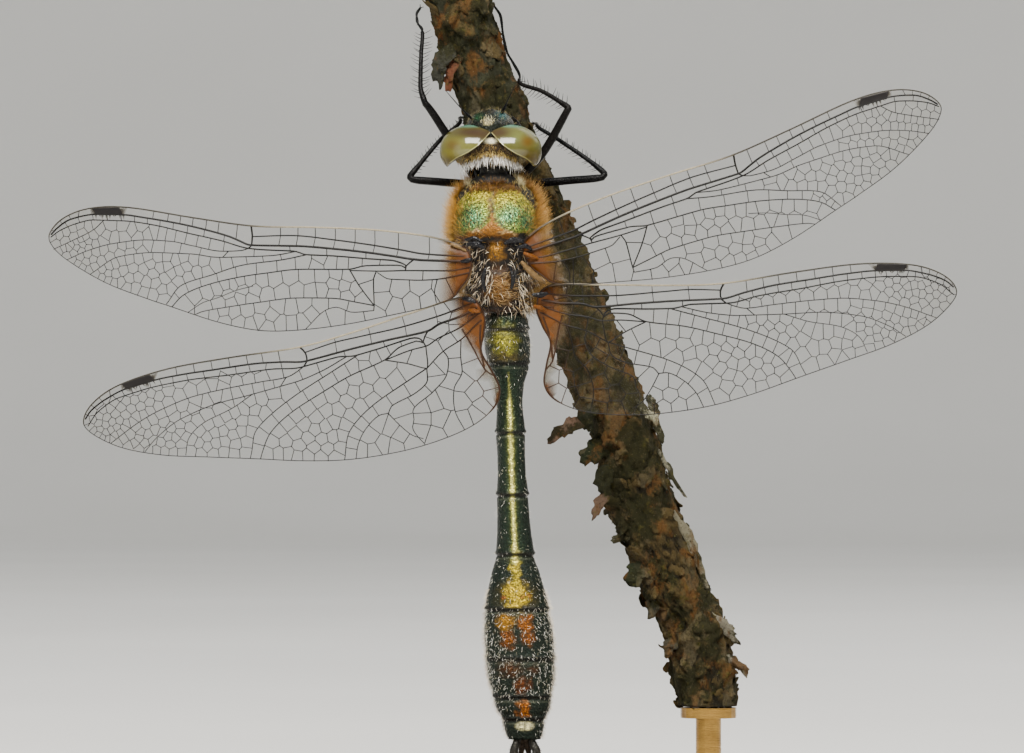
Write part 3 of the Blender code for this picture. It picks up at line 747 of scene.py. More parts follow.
def head_paint(lay, x, z, back):
    """A black neck that is painted shadow, a brown occiput behind the eyes with a painted highlight in its
    middle, and a glossy green-black brow and face.
    """
    middle, height = HEAD[0], HEAD[2]
    # Painted shadow: the neck below the occiput is painted black.
    lay(smoothstep(57.80, 57.92, z), (0.004, 0.004, 0.003), 0.0, 0.6)
    lay(smoothstep(58.45, 58.60, z) * (z < height + 0.2), (0.020, 0.011, 0.004), 0.2, 0.36, 0.8)
    # Painted highlight: a pale cream spot in the middle of the occiput, standing for the lamp's reflection.
    lay(spot(x, z, middle + 0.02, height - 0.14, 0.54, 0.22) * back, (0.85, 0.80, 0.56), 0.0, 0.18, 0.0)
    for side in (-1, 1):
        lay(spot(x, z, middle + side * 2.95, 58.85, 0.75, 0.55, 0.5), (0.14, 0.115, 0.05), 0.1, 0.45, 0.6)
    face = smoothstep(height + 0.2, height + 0.35, z)
    lay(face, (0.005, 0.008, 0.006), 0.5, 0.30, 0.6)
    for offset, rise, *reach, colour, metal, rough, speckle in FACE_GLINTS:
        lay(face * spot(x, z, middle + offset, height + rise, *reach), colour, metal, rough, speckle)
    pale = spot(x, z, middle - 0.25, height + 1.24, 0.28, 0.13, 0.6)
    lay(face * pale * back, (0.34, 0.30, 0.15), 0.2, 0.34, 0.6)


def build_skin():
    """The skin and, for the coat, its grid of points and out directions."""
    points, normals, place_round, rows = skin_frame()
    back = smoothstep(0.05, 0.45, -place_round)
    middle = np.broadcast_to(rows[:, 1:2], back.shape)
    relief = skin_relief(points[..., 0], points[..., 2], back, middle)
    points = points + normals * relief[..., None]
    normals = surface_normals(points)
    corners, faces = ring_surface(points)
    x, z = corners[:, 0], corners[:, 2]
    flat_back = np.concatenate([back.ravel(), [0.0, 1.0]])
    flat_middle = np.concatenate([middle.ravel(), rows[[0, -1], 1]])
    tint, trait, lay = paint_layers(len(corners))
    abdomen_paint(lay, x, z, flat_back, flat_middle)
    thorax_paint(lay, x, z, flat_back)
    head_paint(lay, x, z, flat_back)
    skin = Shape()
    skin.add(corners, faces, tint, trait)
    skin.piece("body_skin", CUTICLE, "body_cuticle", SKIN_NODES + ["head", "face"])
    return points, normals


# Eyes

EYE_OFFSET, EYE_HALF = np.array([1.55, 0.0, -0.75]), np.array([2.40, 2.58, 1.90])
# The rear margin of an eye: distance from the head's middle, height from its centre.
EYE_MARGIN = (
    (0.0, 0.52), (0.19, 0.28), (0.68, -0.27), (1.28, -0.78), (1.99, -1.23), (2.69, -1.56), (3.15, -1.90),
    (3.55, -2.50),
)
EYE_ROWS, EYE_COLUMNS = 150, 150
EYE_FULL = 0.66  # where, towards the seam, the eye stops getting fuller than an ellipsoid
EYE_LOBE = 0.14  # how much fuller it is at its lower outer corner
EYE_SEAM, EYE_ROUNDING = 0.035, 0.07


def softly_over(beyond):
    """How far to press back what lies beyond an edge, with a soft round rim."""
    return EYE_ROUNDING * np.logaddexp(0.0, beyond / EYE_ROUNDING)


# Clouds of colour on the eyes, from the head's middle: x, z, reach x, reach z, strength, colour.
EYE_CLOUDS = [
    (-2.20, -0.55, 1.60, 0.55, 0.80, (0.115, 0.112, 0.026)),
    (1.45, 0.15, 0.90, 0.55, 0.85, (0.110, 0.125, 0.038)),
    (1.70, -0.62, 1.10, 0.36, 0.70, (0.060, 0.060, 0.012)),
    (-1.40, 0.52, 1.60, 0.42, 0.95, (0.033, 0.019, 0.011)),
    (-0.70, 0.20, 0.90, 0.34, 0.70, (0.038, 0.022, 0.012)),
    (0.75, 0.48, 0.85, 0.46, 0.90, (0.038, 0.022, 0.012)),
    (-3.00, -0.50, 0.50, 0.42, 0.70, (0.072, 0.040, 0.012)),
    (2.85, -0.20, 0.42, 0.42, 0.85, (0.085, 0.042, 0.006)),
    (-3.40, -1.25, 0.75, 0.34, 0.80, (0.115, 0.098, 0.009)),
    (-3.35, -1.95, 0.85, 0.55, 0.95, (0.055, 0.036, 0.0015)),
    (3.00, -1.10, 1.00, 0.36, 0.90, (0.055, 0.045, 0.0045)),
    (3.20, -1.75, 0.95, 0.60, 0.95, (0.052, 0.032, 0.0020)),
]


def eye_tint(x, z, rise, rim):
    """Cloudy olive and cream, brown above the inner edge, amber at the outer corner, a painted teal
    reflection where the eye turns towards the head's front, and a painted pale reflection round the rim.
    """
    tint, trait, lay = paint_layers(len(x))
    lay(np.ones(len(x)), (0.080, 0.080, 0.018), 0.0, 0.14)
    for offset, height, *reach, strength, colour in EYE_CLOUDS:
        lay(spot(x, z, HEAD[0] + offset, HEAD[2] + height, *reach, 0.95) * strength, colour)
    # Painted reflection: teal where the eye's surface turns towards the head's front.
    lay(smoothstep(0.88, 1.0, rise) * 0.8, (0.06, 0.19, 0.14))
    # Painted reflection: a pale line along the rim.
    lay(ridge(rim + 0.03, 0.045) * 0.75, (0.42, 0.39, 0.17))
    lay(smoothstep(0.08, 0.3, rim), (0.03, 0.02, 0.012), 0.0, 0.5)
    return tint, trait


def build_eyes():
    """Two bulging eyes that meet in a seam, each flat behind with a rounded rim."""
    tilt = np.linspace(0.02, math.pi - 0.02, EYE_ROWS)[:, None]
    turn = full_turn(EYE_COLUMNS)
    across, rise = np.sin(tilt), -np.cos(tilt) * np.ones(EYE_COLUMNS)
    ball = np.stack([across * np.cos(turn), rise, across * np.sin(turn)], axis=-1)
    for name, side in (("eye_left", -1), ("eye_right", 1)):
        mirror = np.array([side, 1.0, 1.0])
        inward = np.clip(-side * ball[..., :1], 0.0, EYE_FULL)
        fuller = (1 - inward**3) ** (1 / 3) / np.sqrt(1 - inward**2)
        full_ball = ball * np.concatenate([np.ones_like(fuller), 1 + (fuller - 1) * 0.6, fuller], axis=2)
        lobe = np.clip(side * ball[..., 0], 0.0, 1.0) * np.clip(-ball[..., 2], 0.0, 1.0)
        full_ball = full_ball * (1 + EYE_LOBE * lobe[..., None] * np.array([1.0, 0.0, 1.0]))
        offset = EYE_OFFSET * mirror
        corners, faces = ring_surface(full_ball * EYE_HALF + HEAD + offset)
        rise = unit((corners - HEAD - offset) / EYE_HALF**2)[:, 2]
        corners[:, 0] += side * softly_over(EYE_SEAM - side * (corners[:, 0] - HEAD[0]))
        knots = np.array(EYE_MARGIN)
        margin = smooth_values(knots[:, 0], knots, np.abs(corners[:, 0] - HEAD[0]))[:, 1]
        rim = HEAD[2] + margin - corners[:, 2]
        corners[:, 2] += softly_over(rim)
        eye = Shape()
        eye.add(corners, faces, *eye_tint(corners[:, 0], corners[:, 2], rise, rim))
        eye.piece(name + "_cornea", CORNEA, "eye_cornea", (name,))


# Stage

VIEW_CENTRE = place((0.0, -2.5, 42.0))
VIEW_WIDTH = 0.07936
LENS, SENSOR = 300.0, 36.0
FLOOR_INNER, FLOOR_RADIUS, BOWL_BEND, BOWL_HEIGHT, BOWL_COLUMNS = 0.3, 1.5, 0.6, 1.8, 96


def add_camera():
    lens = bpy.data.cameras.new("camera")
    lens.lens, lens.sensor_width = LENS, SENSOR
    lens.clip_start, lens.clip_end = 0.01, 10.0
    camera = bpy.data.objects.new("camera", lens)
    camera.location = VIEW_CENTRE - Vector((0.0, VIEW_WIDTH * LENS / SENSOR, 0.0))
    camera.rotation_euler = (math.pi / 2, 0.0, 0.0)
    bpy.context.scene.collection.objects.link(camera)
    bpy.context.scene.camera = camera


def add_light(name, towards, distance, width, height, power, colour=(1.0, 1.0, 1.0)):
    """A soft lamp with a flat rectangular face that shines at the wings and body from a direction."""
    lamp = bpy.data.lights.new(name, "AREA")
    lamp.shape, lamp.size, lamp.size_y = "RECTANGLE", width, height
    lamp.energy, lamp.color = power, colour
    light = bpy.data.objects.new(name, lamp)
    direction = Vector(towards).normalized()
    light.location = Vector(VIEW_CENTRE) + direction * distance
    light.rotation_euler = direction.to_track_quat("Z", "Y").to_euler()
    bpy.context.scene.collection.objects.link(light)


def build_floor():
    """A pale round floor that sweeps up into a plain wall on every side."""
    profile = [(FLOOR_INNER, 0.0)]
    for bend in np.linspace(0, math.pi / 2, 16):
        profile.append((FLOOR_RADIUS + BOWL_BEND * math.sin(bend), BOWL_BEND * (1 - math.cos(bend))))
    profile.append((FLOOR_RADIUS + BOWL_BEND, BOWL_HEIGHT))
    points = [(0.0, 0.0, 0.0)]
    for radius, z in profile:
        for angle in full_turn(BOWL_COLUMNS):
            points.append((radius * math.cos(angle), radius * math.sin(angle), z))
    after = [(column + 1) % BOWL_COLUMNS for column in range(BOWL_COLUMNS)]
    faces = [(0, 1 + column, 1 + after[column]) for column in range(BOWL_COLUMNS)]
    for row in range(len(profile) - 1):
        inner, outer = 1 + row * BOWL_COLUMNS, 1 + (row + 1) * BOWL_COLUMNS
        faces += [(inner + i, outer + i, outer + after[i], inner + after[i]) for i in range(BOWL_COLUMNS)]
    mesh = bpy.data.meshes.new("pale_floor")
    mesh.from_pydata(points, [], faces)
    mesh.shade_smooth()
    mesh.materials.append(floor_finish())
    floor = bpy.data.objects.new("pale_floor", mesh)
    bpy.context.scene.collection.objects.link(floor)


def add_stage():
    """The floor, the lights, and a soft grey sky."""
    build_floor()
    add_light("key", (-0.04, -0.62, 0.80), 0.9, 0.54, 0.52, 26.0, (1.0, 0.96, 0.90))
    add_light("fill", (-0.9, -0.6, 0.10), 1.2, 0.7, 0.7, 1.5, (0.93, 0.97, 1.0))
    add_light("back", (0.5, 0.7, 0.6), 1.0, 0.6, 0.6, 3.0)
    world = bpy.data.worlds.new("studio")
    world.use_nodes = True
    sky = world.node_tree.nodes["Background"].inputs
    sky["Color"].default_value = (0.86, 0.90, 0.95, 1.0)
    sky["Strength"].default_value = 0.75
    bpy.context.scene.world = world


def dress_stand():
    for node, finish in (("stand_base", walnut_finish()), ("stand_rod", brass_finish())):
        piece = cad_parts[node]
        piece.data.materials.clear()
        piece.data.materials.append(finish)


# Wings. Places on a wing are millimetres along its span and back from its front edge.

WING_EDGES = {"fore": [
    (0, -0.25), (2.6, -0.95), (7, -1.35), (12, -1.42), (16.8, -1.38), (21.6, -1.88), (27, -2.55),
    (30.2, -2.38), (32.3, -1.55), (33.35, -0.35), (33.2, 0.55), (31.8, 1.75), (28.6, 3.42), (25.2, 4.55),
    (23.2, 5.12), (19.6, 6.15), (16.2, 6.72), (13, 6.62), (9, 6.02), (5.2, 5.15), (2.4, 4.45), (0.7, 3.75),
    (0, 2.9), (-0.6, 2), (-0.75, 0.6),
], "hind": [
    (0, -1.08), (4.5, -1.08), (9, -0.93), (13.5, -0.98), (19, -1.72), (24, -2.25), (28, -2.12),
    (30.3, -1.42), (31.5, -0.35), (31.35, 0.75), (29.4, 2.55), (26.4, 4.05), (23, 5.2), (19.2, 6.45),
    (15.6, 7.65), (12, 8.55), (8, 9.02), (4.6, 8.98), (2, 8.55), (0.2, 7.65), (-0.5, 6.5), (-0.3, 5),
    (0.05, 3.3), (-0.55, 2), (-0.95, 0.5),
]}
WING_PLACES = {
    "wing_fore_left": ("fore", -1, (-3.87, -3.1, 51.8), 1.9, 14.0),
    "wing_fore_right": ("fore", 1, (1.4, -3.0, 52.62), 17.9, 0.0),
    "wing_hind_left": ("hind", -1, (-3.27, -2.14, 47.13), -16.3, 7.0),
    "wing_hind_right": ("hind", 1, (2.87, -2.0, 47.93), 1.3, 0.0),
}
# Each vein: its radius at the root and the tip, its pleat (1 a ridge, -1 a valley), and its route.
WING_VEINS = {"fore": [
    (0.075, 0.050, -1, [
        (-0.2, 0.5), (3, 0.4), (5, 0.12), (7.4, -0.19), (10.2, -0.48), (13.5, -0.73), (16.9, -0.56),
    ]),
    (0.100, 0.060, 1, [
        (-0.6, 0.88), (3, 0.89), (3.8, 0.84), (5.6, 0.63), (7.4, 0.43), (10.1, 0.22), (13.1, 0.08),
        (16.9, 0.12), (18, -0.24), (18.7, -0.5), (20.7, -0.99), (22.7, -1.38), (25.5, -1.77), (27.5, -1.97),
        (29.6, -1.94), (31.7, -1.49), (32.8, -0.74), (33.25, -0.24),
    ]),
    (0.075, 0.055, 0, [(17, -1.36), (16.9, -0.54), (16.9, 0.1), (17.2, 0.38)]),
    (0.060, 0.050, 0, [(3.8, 0.84), (4.5, 1.54), (4.5, 1.71)]),
    (0.060, 0.040, -1, [
        (4.5, 1.54), (4.45, 1.38), (5, 1.11), (5.6, 0.97), (7.3, 0.91), (10.8, 0.75), (12.5, 0.73),
        (13.5, 0.48), (15.8, 0.45), (17.2, 0.37), (19.4, -0.16), (22, -0.65), (25.1, -1.26), (27.4, -1.49),
        (29.9, -1.5), (31.1, -1.23), (32.6, -0.59), (33.3, -0.05),
    ]),
    (0.042, 0.030, -1, [
        (17.2, 0.37), (17.8, 0.56), (19.4, 0.65), (21.7, 0.3), (23.5, 0), (25.3, -0.06), (28.2, 0.3),
        (30.4, 0.97), (31.9, 1.68),
    ]),
    (0.040, 0.036, 0, [(18.8, 0.64), (19.2, 1.12)]),
    (0.036, 0.028, 1, [(29, -1.49), (29.7, -0.79), (31.3, 0.08), (33, 0.9)]),
    (0.044, 0.030, 1, [
        (13.4, 0.52), (15.1, 0.86), (17.9, 1.06), (19.7, 1.14), (21.7, 0.94), (24.6, 0.91), (27.6, 1.31),
        (29.9, 2.75),
    ]),
    (0.048, 0.034, -1, [(12.5, 0.73), (14.4, 1.17), (17.6, 1.68), (20.1, 2.53), (22.6, 3.45), (23.7, 4.92)]),
    (0.056, 0.036, 1, [
        (4.5, 1.52), (4.9, 1.34), (7.6, 1.45), (9, 1.76), (13.1, 1.89), (15.5, 2.23), (17.7, 2.61),
        (20.6, 3.39), (22.3, 4.18), (23.2, 5.12),
    ]),
    (0.032, 0.028, 0, [(16.7, 3.29), (18, 3.66), (19.5, 4.28), (20.7, 4.7), (21.9, 5.5)]),
    (0.048, 0.034, -1, [
        (6.9, 4.52), (8.3, 4.31), (10.3, 4.05), (13.1, 4.11), (16.3, 4.56), (18.8, 5), (20.8, 5.41),
        (21.4, 5.68),
    ]),
    (0.050, 0.045, 0, [(8.95, 1.78), (8.9, 1.86), (8.2, 2.92), (6.9, 4.52)]),
    (0.050, 0.045, 0, [(6.8, 1.85), (7, 2.5), (6.9, 4.52), (6.9, 4.91)]),
    (0.036, 0.036, 0, [(8.2, 2.92), (7, 2.5)]),
    (0.070, 0.045, -1, [(-0.7, 1.32), (0.9, 1.63), (4.5, 1.73), (6.8, 1.84), (8.9, 1.86)]),
    (0.060, 0.040, 1, [(-0.7, 1.74), (1.9, 2.33), (3.6, 2.45), (5.7, 2.43), (6.7, 1.95)]),
    (0.040, 0.030, 1, [(6.9, 4.91), (8.6, 5.09), (9.9, 4.74), (10.6, 4.92), (12.3, 6.5)]),
    (0.040, 0.032, 0, [(1.9, 2.33), (2.1, 3.3), (1.9, 4.18)]),
], "hind": [
    (0.070, 0.048, -1, [(-0.3, -0.5), (2.5, -0.26), (4.7, -0.23), (9, -0.46), (10.9, -0.57), (13.3, -0.47)]),
    (0.095, 0.058, 1, [
        (-0.6, -0.02), (1.1, 0.27), (2.5, 0.34), (3.6, 0.62), (6.8, 0.42), (9.7, 0.29), (13.4, 0.2),
        (15.2, -0.25), (17.4, -0.74), (20.6, -1.18), (23.2, -1.53), (25.4, -1.7), (27.6, -1.68),
        (29.3, -1.37), (30.8, -0.79), (31.4, -0.28),
    ]),
    (0.072, 0.055, 0, [(13.6, -0.98), (13.3, -0.37), (13.3, 0.09), (13.7, 0.52)]),
    (0.058, 0.050, 0, [(3.6, 0.62), (4.2, 1.36), (4.1, 1.75)]),
    (0.060, 0.040, -1, [
        (4.2, 1.38), (4.4, 1), (5.1, 0.79), (8.1, 0.87), (9.5, 0.87), (11.1, 0.58), (13.9, 0.55),
        (16.3, 0.03), (19.5, -0.44), (23.3, -1.03), (26.2, -1.23), (28.3, -1.18), (30.3, -0.58), (31.4, 0.3),
    ]),
    (0.042, 0.030, -1, [
        (13.8, 0.57), (14.4, 0.8), (15.2, 0.98), (17.4, 0.75), (20.4, 0.48), (22.7, 0.37), (25.3, 0.62),
        (27.2, 1.03), (30, 2.05),
    ]),
    (0.040, 0.036, 0, [(15.3, 0.97), (15.9, 1.51)]),
    (0.044, 0.030, 1, [
        (10.2, 0.74), (12.6, 1.31), (14.7, 1.53), (18.2, 1.5), (20.9, 1.42), (24, 1.75), (26.3, 2.6),
        (27.6, 3.45),
    ]),
    (0.034, 0.028, 0, [(18.2, 1.5), (20.2, 2.14), (22.4, 2.53), (24, 3.4), (24.6, 4.6)]),
    (0.048, 0.032, -1, [
        (9.5, 0.91), (11.7, 1.55), (14.9, 2.49), (17.6, 3.58), (18.9, 4.45), (19.5, 5.68), (19.8, 6.25),
    ]),
    (0.056, 0.034, 1, [
        (4.2, 1.41), (4.7, 1.12), (6, 1.2), (7.5, 1.84), (10.4, 2.26), (12.7, 2.84), (15.7, 3.73),
        (17.7, 4.8), (18.6, 5.87), (19, 6.5),
    ]),
    (0.065, 0.048, -1, [(-0.7, 0.4), (1.4, 1.13), (3, 1.38), (4.1, 1.71), (5.2, 1.67), (7.4, 1.85)]),
    (0.050, 0.045, 0, [(7.5, 1.84), (5.9, 2.58), (4.5, 3.37), (4.1, 1.75)]),
    (0.036, 0.036, 0, [(5.2, 1.67), (5.9, 2.58)]),
    (0.048, 0.032, -1, [(4.5, 3.37), (6.4, 3.96), (9.2, 4.88), (10.9, 5.75), (11.9, 6.62), (12.7, 8.4)]),
    (0.046, 0.032, 1, [
        (4.5, 3.37), (4.7, 4.3), (5.9, 4.98), (8, 5.44), (8.4, 5.89), (8.9, 5.83), (10.3, 6.48),
        (11.3, 7.53), (11.8, 8.58),
    ]),
    (0.058, 0.045, 1, [(-0.7, 0.95), (-0.1, 1.23), (1.3, 1.99), (2.8, 2.43), (4.5, 3.39)]),
    (0.044, 0.030, -1, [
        (2.9, 2.46), (2.7, 3.02), (3.2, 4.33), (4.6, 5.28), (6.5, 6.25), (6.6, 6.9), (6.9, 7.54),
        (6.3, 9.08),
    ]),
    (0.038, 0.030, 0, [(8.4, 5.89), (7.7, 7.16), (7, 8.11), (6.3, 8.54)]),
    (0.048, 0.034, 1, [(1.3, 2.03), (1.7, 3.3), (1.9, 4.39), (2.9, 5.52), (3.3, 7.2), (3, 8.78)]),
    (0.066, 0.050, 0, [(1, 1.2), (0.8, 1.9), (0.58, 2.9), (0.19, 4.69), (-0.42, 5.45)]),
    (0.075, 0.062, 0, [(-0.5, 1.3), (-0.085, 2.56), (0.12, 3.9), (0.19, 4.69)]),
]}
# Cross veins in front of the nodus, which cross two spaces, and beyond it, which cross one.
ANTENODALS = {"fore": (2.6, 5.1, 7.0, 8.6, 10.2, 11.8, 13.2, 14.6), "hind": (2.6, 5.2, 8.0, 10.8)}
POSTNODALS = {
    "fore": (18.1, 19.6, 20.6, 21.7, 22.7, 23.7, 24.9, 31.0),
    "hind": (15.3, 16.6, 17.8, 19.2, 20.6, 22.0, 23.4, 28.9),
}
STIGMAS = {
    "fore": [(27.75, -2.53), (27.45, -1.99), (29.65, -1.96), (29.95, -2.40)],
    "hind": [(25.55, -2.23), (25.30, -1.72), (27.55, -1.70), (27.85, -2.16)],
}
# How far apart cell middles lie, along the span.
CELL_PITCH = {
    "fore": ((0, 6, 12, 18, 24, 33), (1.45, 1.25, 1.05, 0.86, 0.74, 0.56)),
    "hind": ((0, 6, 12, 18, 24, 31), (1.20, 1.15, 0.98, 0.86, 0.74, 0.56)),
}
WING_GRID = 0.06  # the step of the grid on which the cell net is worked out
PLEAT, WAVE = 0.12, 0.05  # how high ridge veins and the broad waves of a wing stand
SHEET_HALF, STIGMA_HALF, CELL_DOME = 0.012, 0.05, (-0.035, 0.055)
VEIN_FULL, VEIN_SIDES, VEIN_STEP = 1.15, 6, 0.28
MARGIN_RADIUS, CROSS_RADIUS, CROSS_STEP = 0.036, 0.034, 0.3
COSTA_RADII = ((0, 0.5, 0.93, 1), (0.090, 0.072, 0.056, 0.042))
WALL_RADII = ((0, 8, 33), (0.042, 0.036, 0.027))  # cell walls, along the span
# The last colour is the costa's pale front edge, partly its own colour and partly a painted highlight.
VEIN_BLACK, VEIN_TAN, VEIN_PALE_AND_HIGHLIGHT = (0.0035, 0.0030, 0.0025), (0.070, 0.024, 0.005), (0.30, 0.26, 0.18)


def smooth_loop(corners, steps):
    """A closed smooth curve through the corners."""
    knots = np.asarray(corners, float)
    before, after, beyond = (np.roll(knots, shift, axis=0) for shift in (1, -1, -2))
    t = (np.arange(steps) / steps)[None, :, None]
    before, knots, after, beyond = (array[:, None] for array in (before, knots, after, beyond))
    curve = knots + t / 2 * (after - before) + t**2 / 2 * (2 * before - 5 * knots + 4 * after - beyond)
    curve = curve + t**3 / 2 * (3 * knots - before - 3 * after + beyond)
    return curve.reshape(-1, 2)


def spaced(path, pitch):
    """Points on a smooth curve about a pitch apart."""
    length = np.linalg.norm(np.diff(np.asarray(path, float), axis=0), axis=1).sum()
    return smooth_path(path, max(3, int(length / pitch)))


def across_at(path, u):
    """Where a path that runs along the span lies across it."""
    path = np.asarray(path, float)
    return float(np.interp(u, path[:, 0], path[:, 1]))


def explicit_cross_veins(kind, edge):
    """The regular cross veins along the front of the wing."""
    front = edge[: int(edge[:, 0].argmax())]
    subcosta, radius = (spaced(WING_VEINS[kind][index][3], 0.2) for index in (0, 1))
    lines = []
    for u in ANTENODALS[kind]:
        middle = (u + 0.03, across_at(subcosta, u))
        lines += [[(u, across_at(front, u)), middle], [middle, (u + 0.10, across_at(radius, u + 0.1))]]
    for u in POSTNODALS[kind]:
        lines.append([(u, across_at(front, u)), (u + 0.08, across_at(radius, u))])
    stigma = STIGMAS[kind]
    return lines + [stigma[:2], stigma[2:]]


def inside_loop(loop, u, v):
    """Which places lie inside a closed curve."""
    inside = np.zeros(u.shape, bool)
    for (u0, v0), (u1, v1) in zip(loop, np.roll(loop, -1, axis=0)):
        if v0 == v1:
            continue
        crosses = (v0 > v) != (v1 > v)
        inside ^= crosses & (u < (u1 - u0) * (v - v0) / (v1 - v0) + u0)
    return inside


def flood(free):
    """Numbers the separate open spaces of a grid from 0. Closed places get -1."""
    label = np.where(free, -2, -1)
    rows, columns = free.shape
    count = 0
    for start in zip(*np.where(free)):
        if label[start] != -2:
            continue
        label[start] = count
        waiting = [start]
        while waiting:
            row, column = waiting.pop()
            for near in ((row + 1, column), (row - 1, column), (row, column + 1), (row, column - 1)):
                if 0 <= near[0] < rows and 0 <= near[1] < columns and label[near] == -2:
                    label[near] = count
                    waiting.append(near)
        count += 1
    return label, count


def nearest(points, seeds):
    return ((points[:, None] - seeds[None]) ** 2).sum(axis=2).argmin(axis=1)


def cell_seeds(points, pitch, rng):
    """Cell middles in one space, spread evenly, and the cell that each place belongs to."""
    weight = 1 / pitch**2
    count = max(1, round(weight.sum() * WING_GRID**2))
    seeds = points[rng.choice(len(points), count, replace=False, p=weight / weight.sum())]
    for _ in range(9):
        owner = nearest(points, seeds)
        total = np.maximum(np.bincount(owner, weight, count), 1e-9)
        middles = [np.bincount(owner, weight * points[:, axis], count) / total for axis in (0, 1)]
        seeds = np.stack(middles, axis=1)
    return seeds, nearest(points, seeds)


def wing_net(kind, edge, lines, seed):
    """Straight cell walls that fill the spaces between the veins, and the cells' middles."""
    rng = np.random.default_rng(seed)
    low = edge.min(axis=0) - 3 * WING_GRID
    shape = np.ceil((edge.max(axis=0) - low) / WING_GRID).astype(int) + 3
    u, v = (low[axis] + WING_GRID * np.arange(shape[axis]) for axis in (0, 1))
    u, v = np.meshgrid(u, v, indexing="ij")
    free = inside_loop(edge, u, v)
    for line in lines:
        fine = smooth_or_straight(line, WING_GRID * 0.35)
        at = np.rint((fine - low) / WING_GRID).astype(int)
        free[np.clip(at[:, 0], 0, shape[0] - 1), np.clip(at[:, 1], 0, shape[1] - 1)] = False
    label, count = flood(free)
    owner = np.full(label.shape, -1)
    radius = spaced(WING_VEINS[kind][1][3], 0.2)
    middles = []
    order = np.argsort(label, axis=None)
    starts = np.searchsorted(label.ravel()[order], np.arange(count + 1))
    for space in range(count):
        inside = order[starts[space]:starts[space + 1]]
        points = np.stack([u.ravel()[inside], v.ravel()[inside]], axis=1)
        middle = points.mean(axis=0)
        pitch = np.interp(points[:, 0], *CELL_PITCH[kind])
        if middle[1] < np.interp(middle[0], radius[:, 0], radius[:, 1]):
            pitch = pitch * 9
        seeds, own = cell_seeds(points, pitch, rng)
        owner.ravel()[inside] = own + len(middles)
        middles += list(seeds)
    middles = np.array(middles)
    return cell_walls(owner, label, middles, low), middles


def smooth_or_straight(line, pitch):
    if len(line) > 2:
        return spaced(line, pitch)
    line = np.asarray(line, float)
    count = max(2, int(np.linalg.norm(line[1] - line[0]) / pitch))
    return line[0] + (line[1] - line[0]) * np.linspace(0, 1, count)[:, None]


def cell_walls(owner, label, middles, low):
    """The straight walls between neighbouring cells of one space."""
    pairs, places = [], []
    for axis in (0, 1):
        ahead = [slice(None), slice(None)]
        behind = [slice(None), slice(None)]
        ahead[axis], behind[axis] = slice(1, None), slice(None, -1)
        one, other = owner[tuple(behind)], owner[tuple(ahead)]
        same = label[tuple(behind)] == label[tuple(ahead)]
        found = np.argwhere((one != other) & (one >= 0) & (other >= 0) & same)
        pairs.append(np.sort(np.stack([one[tuple(found.T)], other[tuple(found.T)]], axis=1), axis=1))
        shift = np.eye(2)[axis] / 2
        places.append(low + (found + shift) * WING_GRID)
    pairs, places = np.vstack(pairs), np.vstack(places)
    keys, which = np.unique(pairs, axis=0, return_inverse=True)
    which = which.ravel()
    start, end = middles[keys[:, 0]], middles[keys[:, 1]]
    along = unit(np.stack([start[:, 1] - end[:, 1], end[:, 0] - start[:, 0]], axis=1))
    centre = (start + end) / 2
    reach = ((places - centre[which]) * along[which]).sum(axis=1)
    first, last = np.full(len(keys), 9e9), np.full(len(keys), -9e9)
    np.minimum.at(first, which, reach)
    np.maximum.at(last, which, reach)
    start, end = (centre + along * reach[:, None] for reach in (first - WING_GRID, last + WING_GRID))
    return np.stack([start, end], axis=1)[last - first > WING_GRID * 1.5]


def new_tree(name, inputs):
    """A geometry node tree with its sockets, and its input and output nodes."""
    tree = bpy.data.node_groups.new(name, "GeometryNodeTree")
    for label, kind in (("Geometry", "Geometry"), *inputs):
        tree.interface.new_socket(label, in_out="INPUT", socket_type="NodeSocket" + kind)
    tree.interface.new_socket("Geometry", in_out="OUTPUT", socket_type="NodeSocketGeometry")
    return tree, tree.nodes.new("NodeGroupInput").outputs, tree.nodes.new("NodeGroupOutput").inputs


def new_nodes(tree, family, names):
    return [tree.nodes.new(family + name) for name in names]


def link_all(tree, links):
    for output, entry in links:
        tree.links.new(output, entry)


def build_tube_tree():
    """Geometry nodes that turn edges into round closed tubes, as thick as the points' own radius."""
    tree, given, result = new_tree("vein_tubes", (("Sides", "Int"), ("Finish", "Material")))
    curve, radius, circle, tubes, realized, painted = new_nodes(tree, "GeometryNode", (
        "MeshToCurve", "InputNamedAttribute", "CurvePrimitiveCircle", "CurveToMesh", "RealizeInstances",
        "SetMaterial",
    ))
    radius.data_type = "FLOAT"
    radius.inputs["Name"].default_value = "radius"
    circle.inputs["Radius"].default_value = 1.0
    tubes.inputs["Fill Caps"].default_value = True
    link_all(tree, (
        (given["Geometry"], curve.inputs["Mesh"]), (curve.outputs[0], tubes.inputs["Curve"]),
        (radius.outputs["Attribute"], tubes.inputs["Scale"]), (given["Sides"], circle.inputs["Resolution"]),
        (circle.outputs["Curve"], tubes.inputs["Profile Curve"]),
        (tubes.outputs[0], realized.inputs[0]), (realized.outputs[0], painted.inputs["Geometry"]),
        (given["Finish"], painted.inputs["Material"]), (painted.outputs[0], result[0]),
    ))
    return tree


VEIN_TUBES = build_tube_tree()


def run_nodes(mesh, tree, **inputs):
    """A plain mesh that a geometry node tree makes from a mesh."""
    holder = bpy.data.objects.new("maker", mesh)
    bpy.context.scene.collection.objects.link(holder)
    modifier = holder.modifiers.new("nodes", "NODES")
    modifier.node_group = tree
    for item in tree.interface.items_tree:
        if item.in_out == "INPUT" and item.name in inputs:
            modifier[item.identifier] = inputs[item.name]
    graph = bpy.context.evaluated_depsgraph_get()
    result = holder.evaluated_get(graph)
    made = bpy.data.meshes.new_from_object(result, preserve_all_data_layers=True, depsgraph=graph)
    bpy.data.objects.remove(holder)
    return made


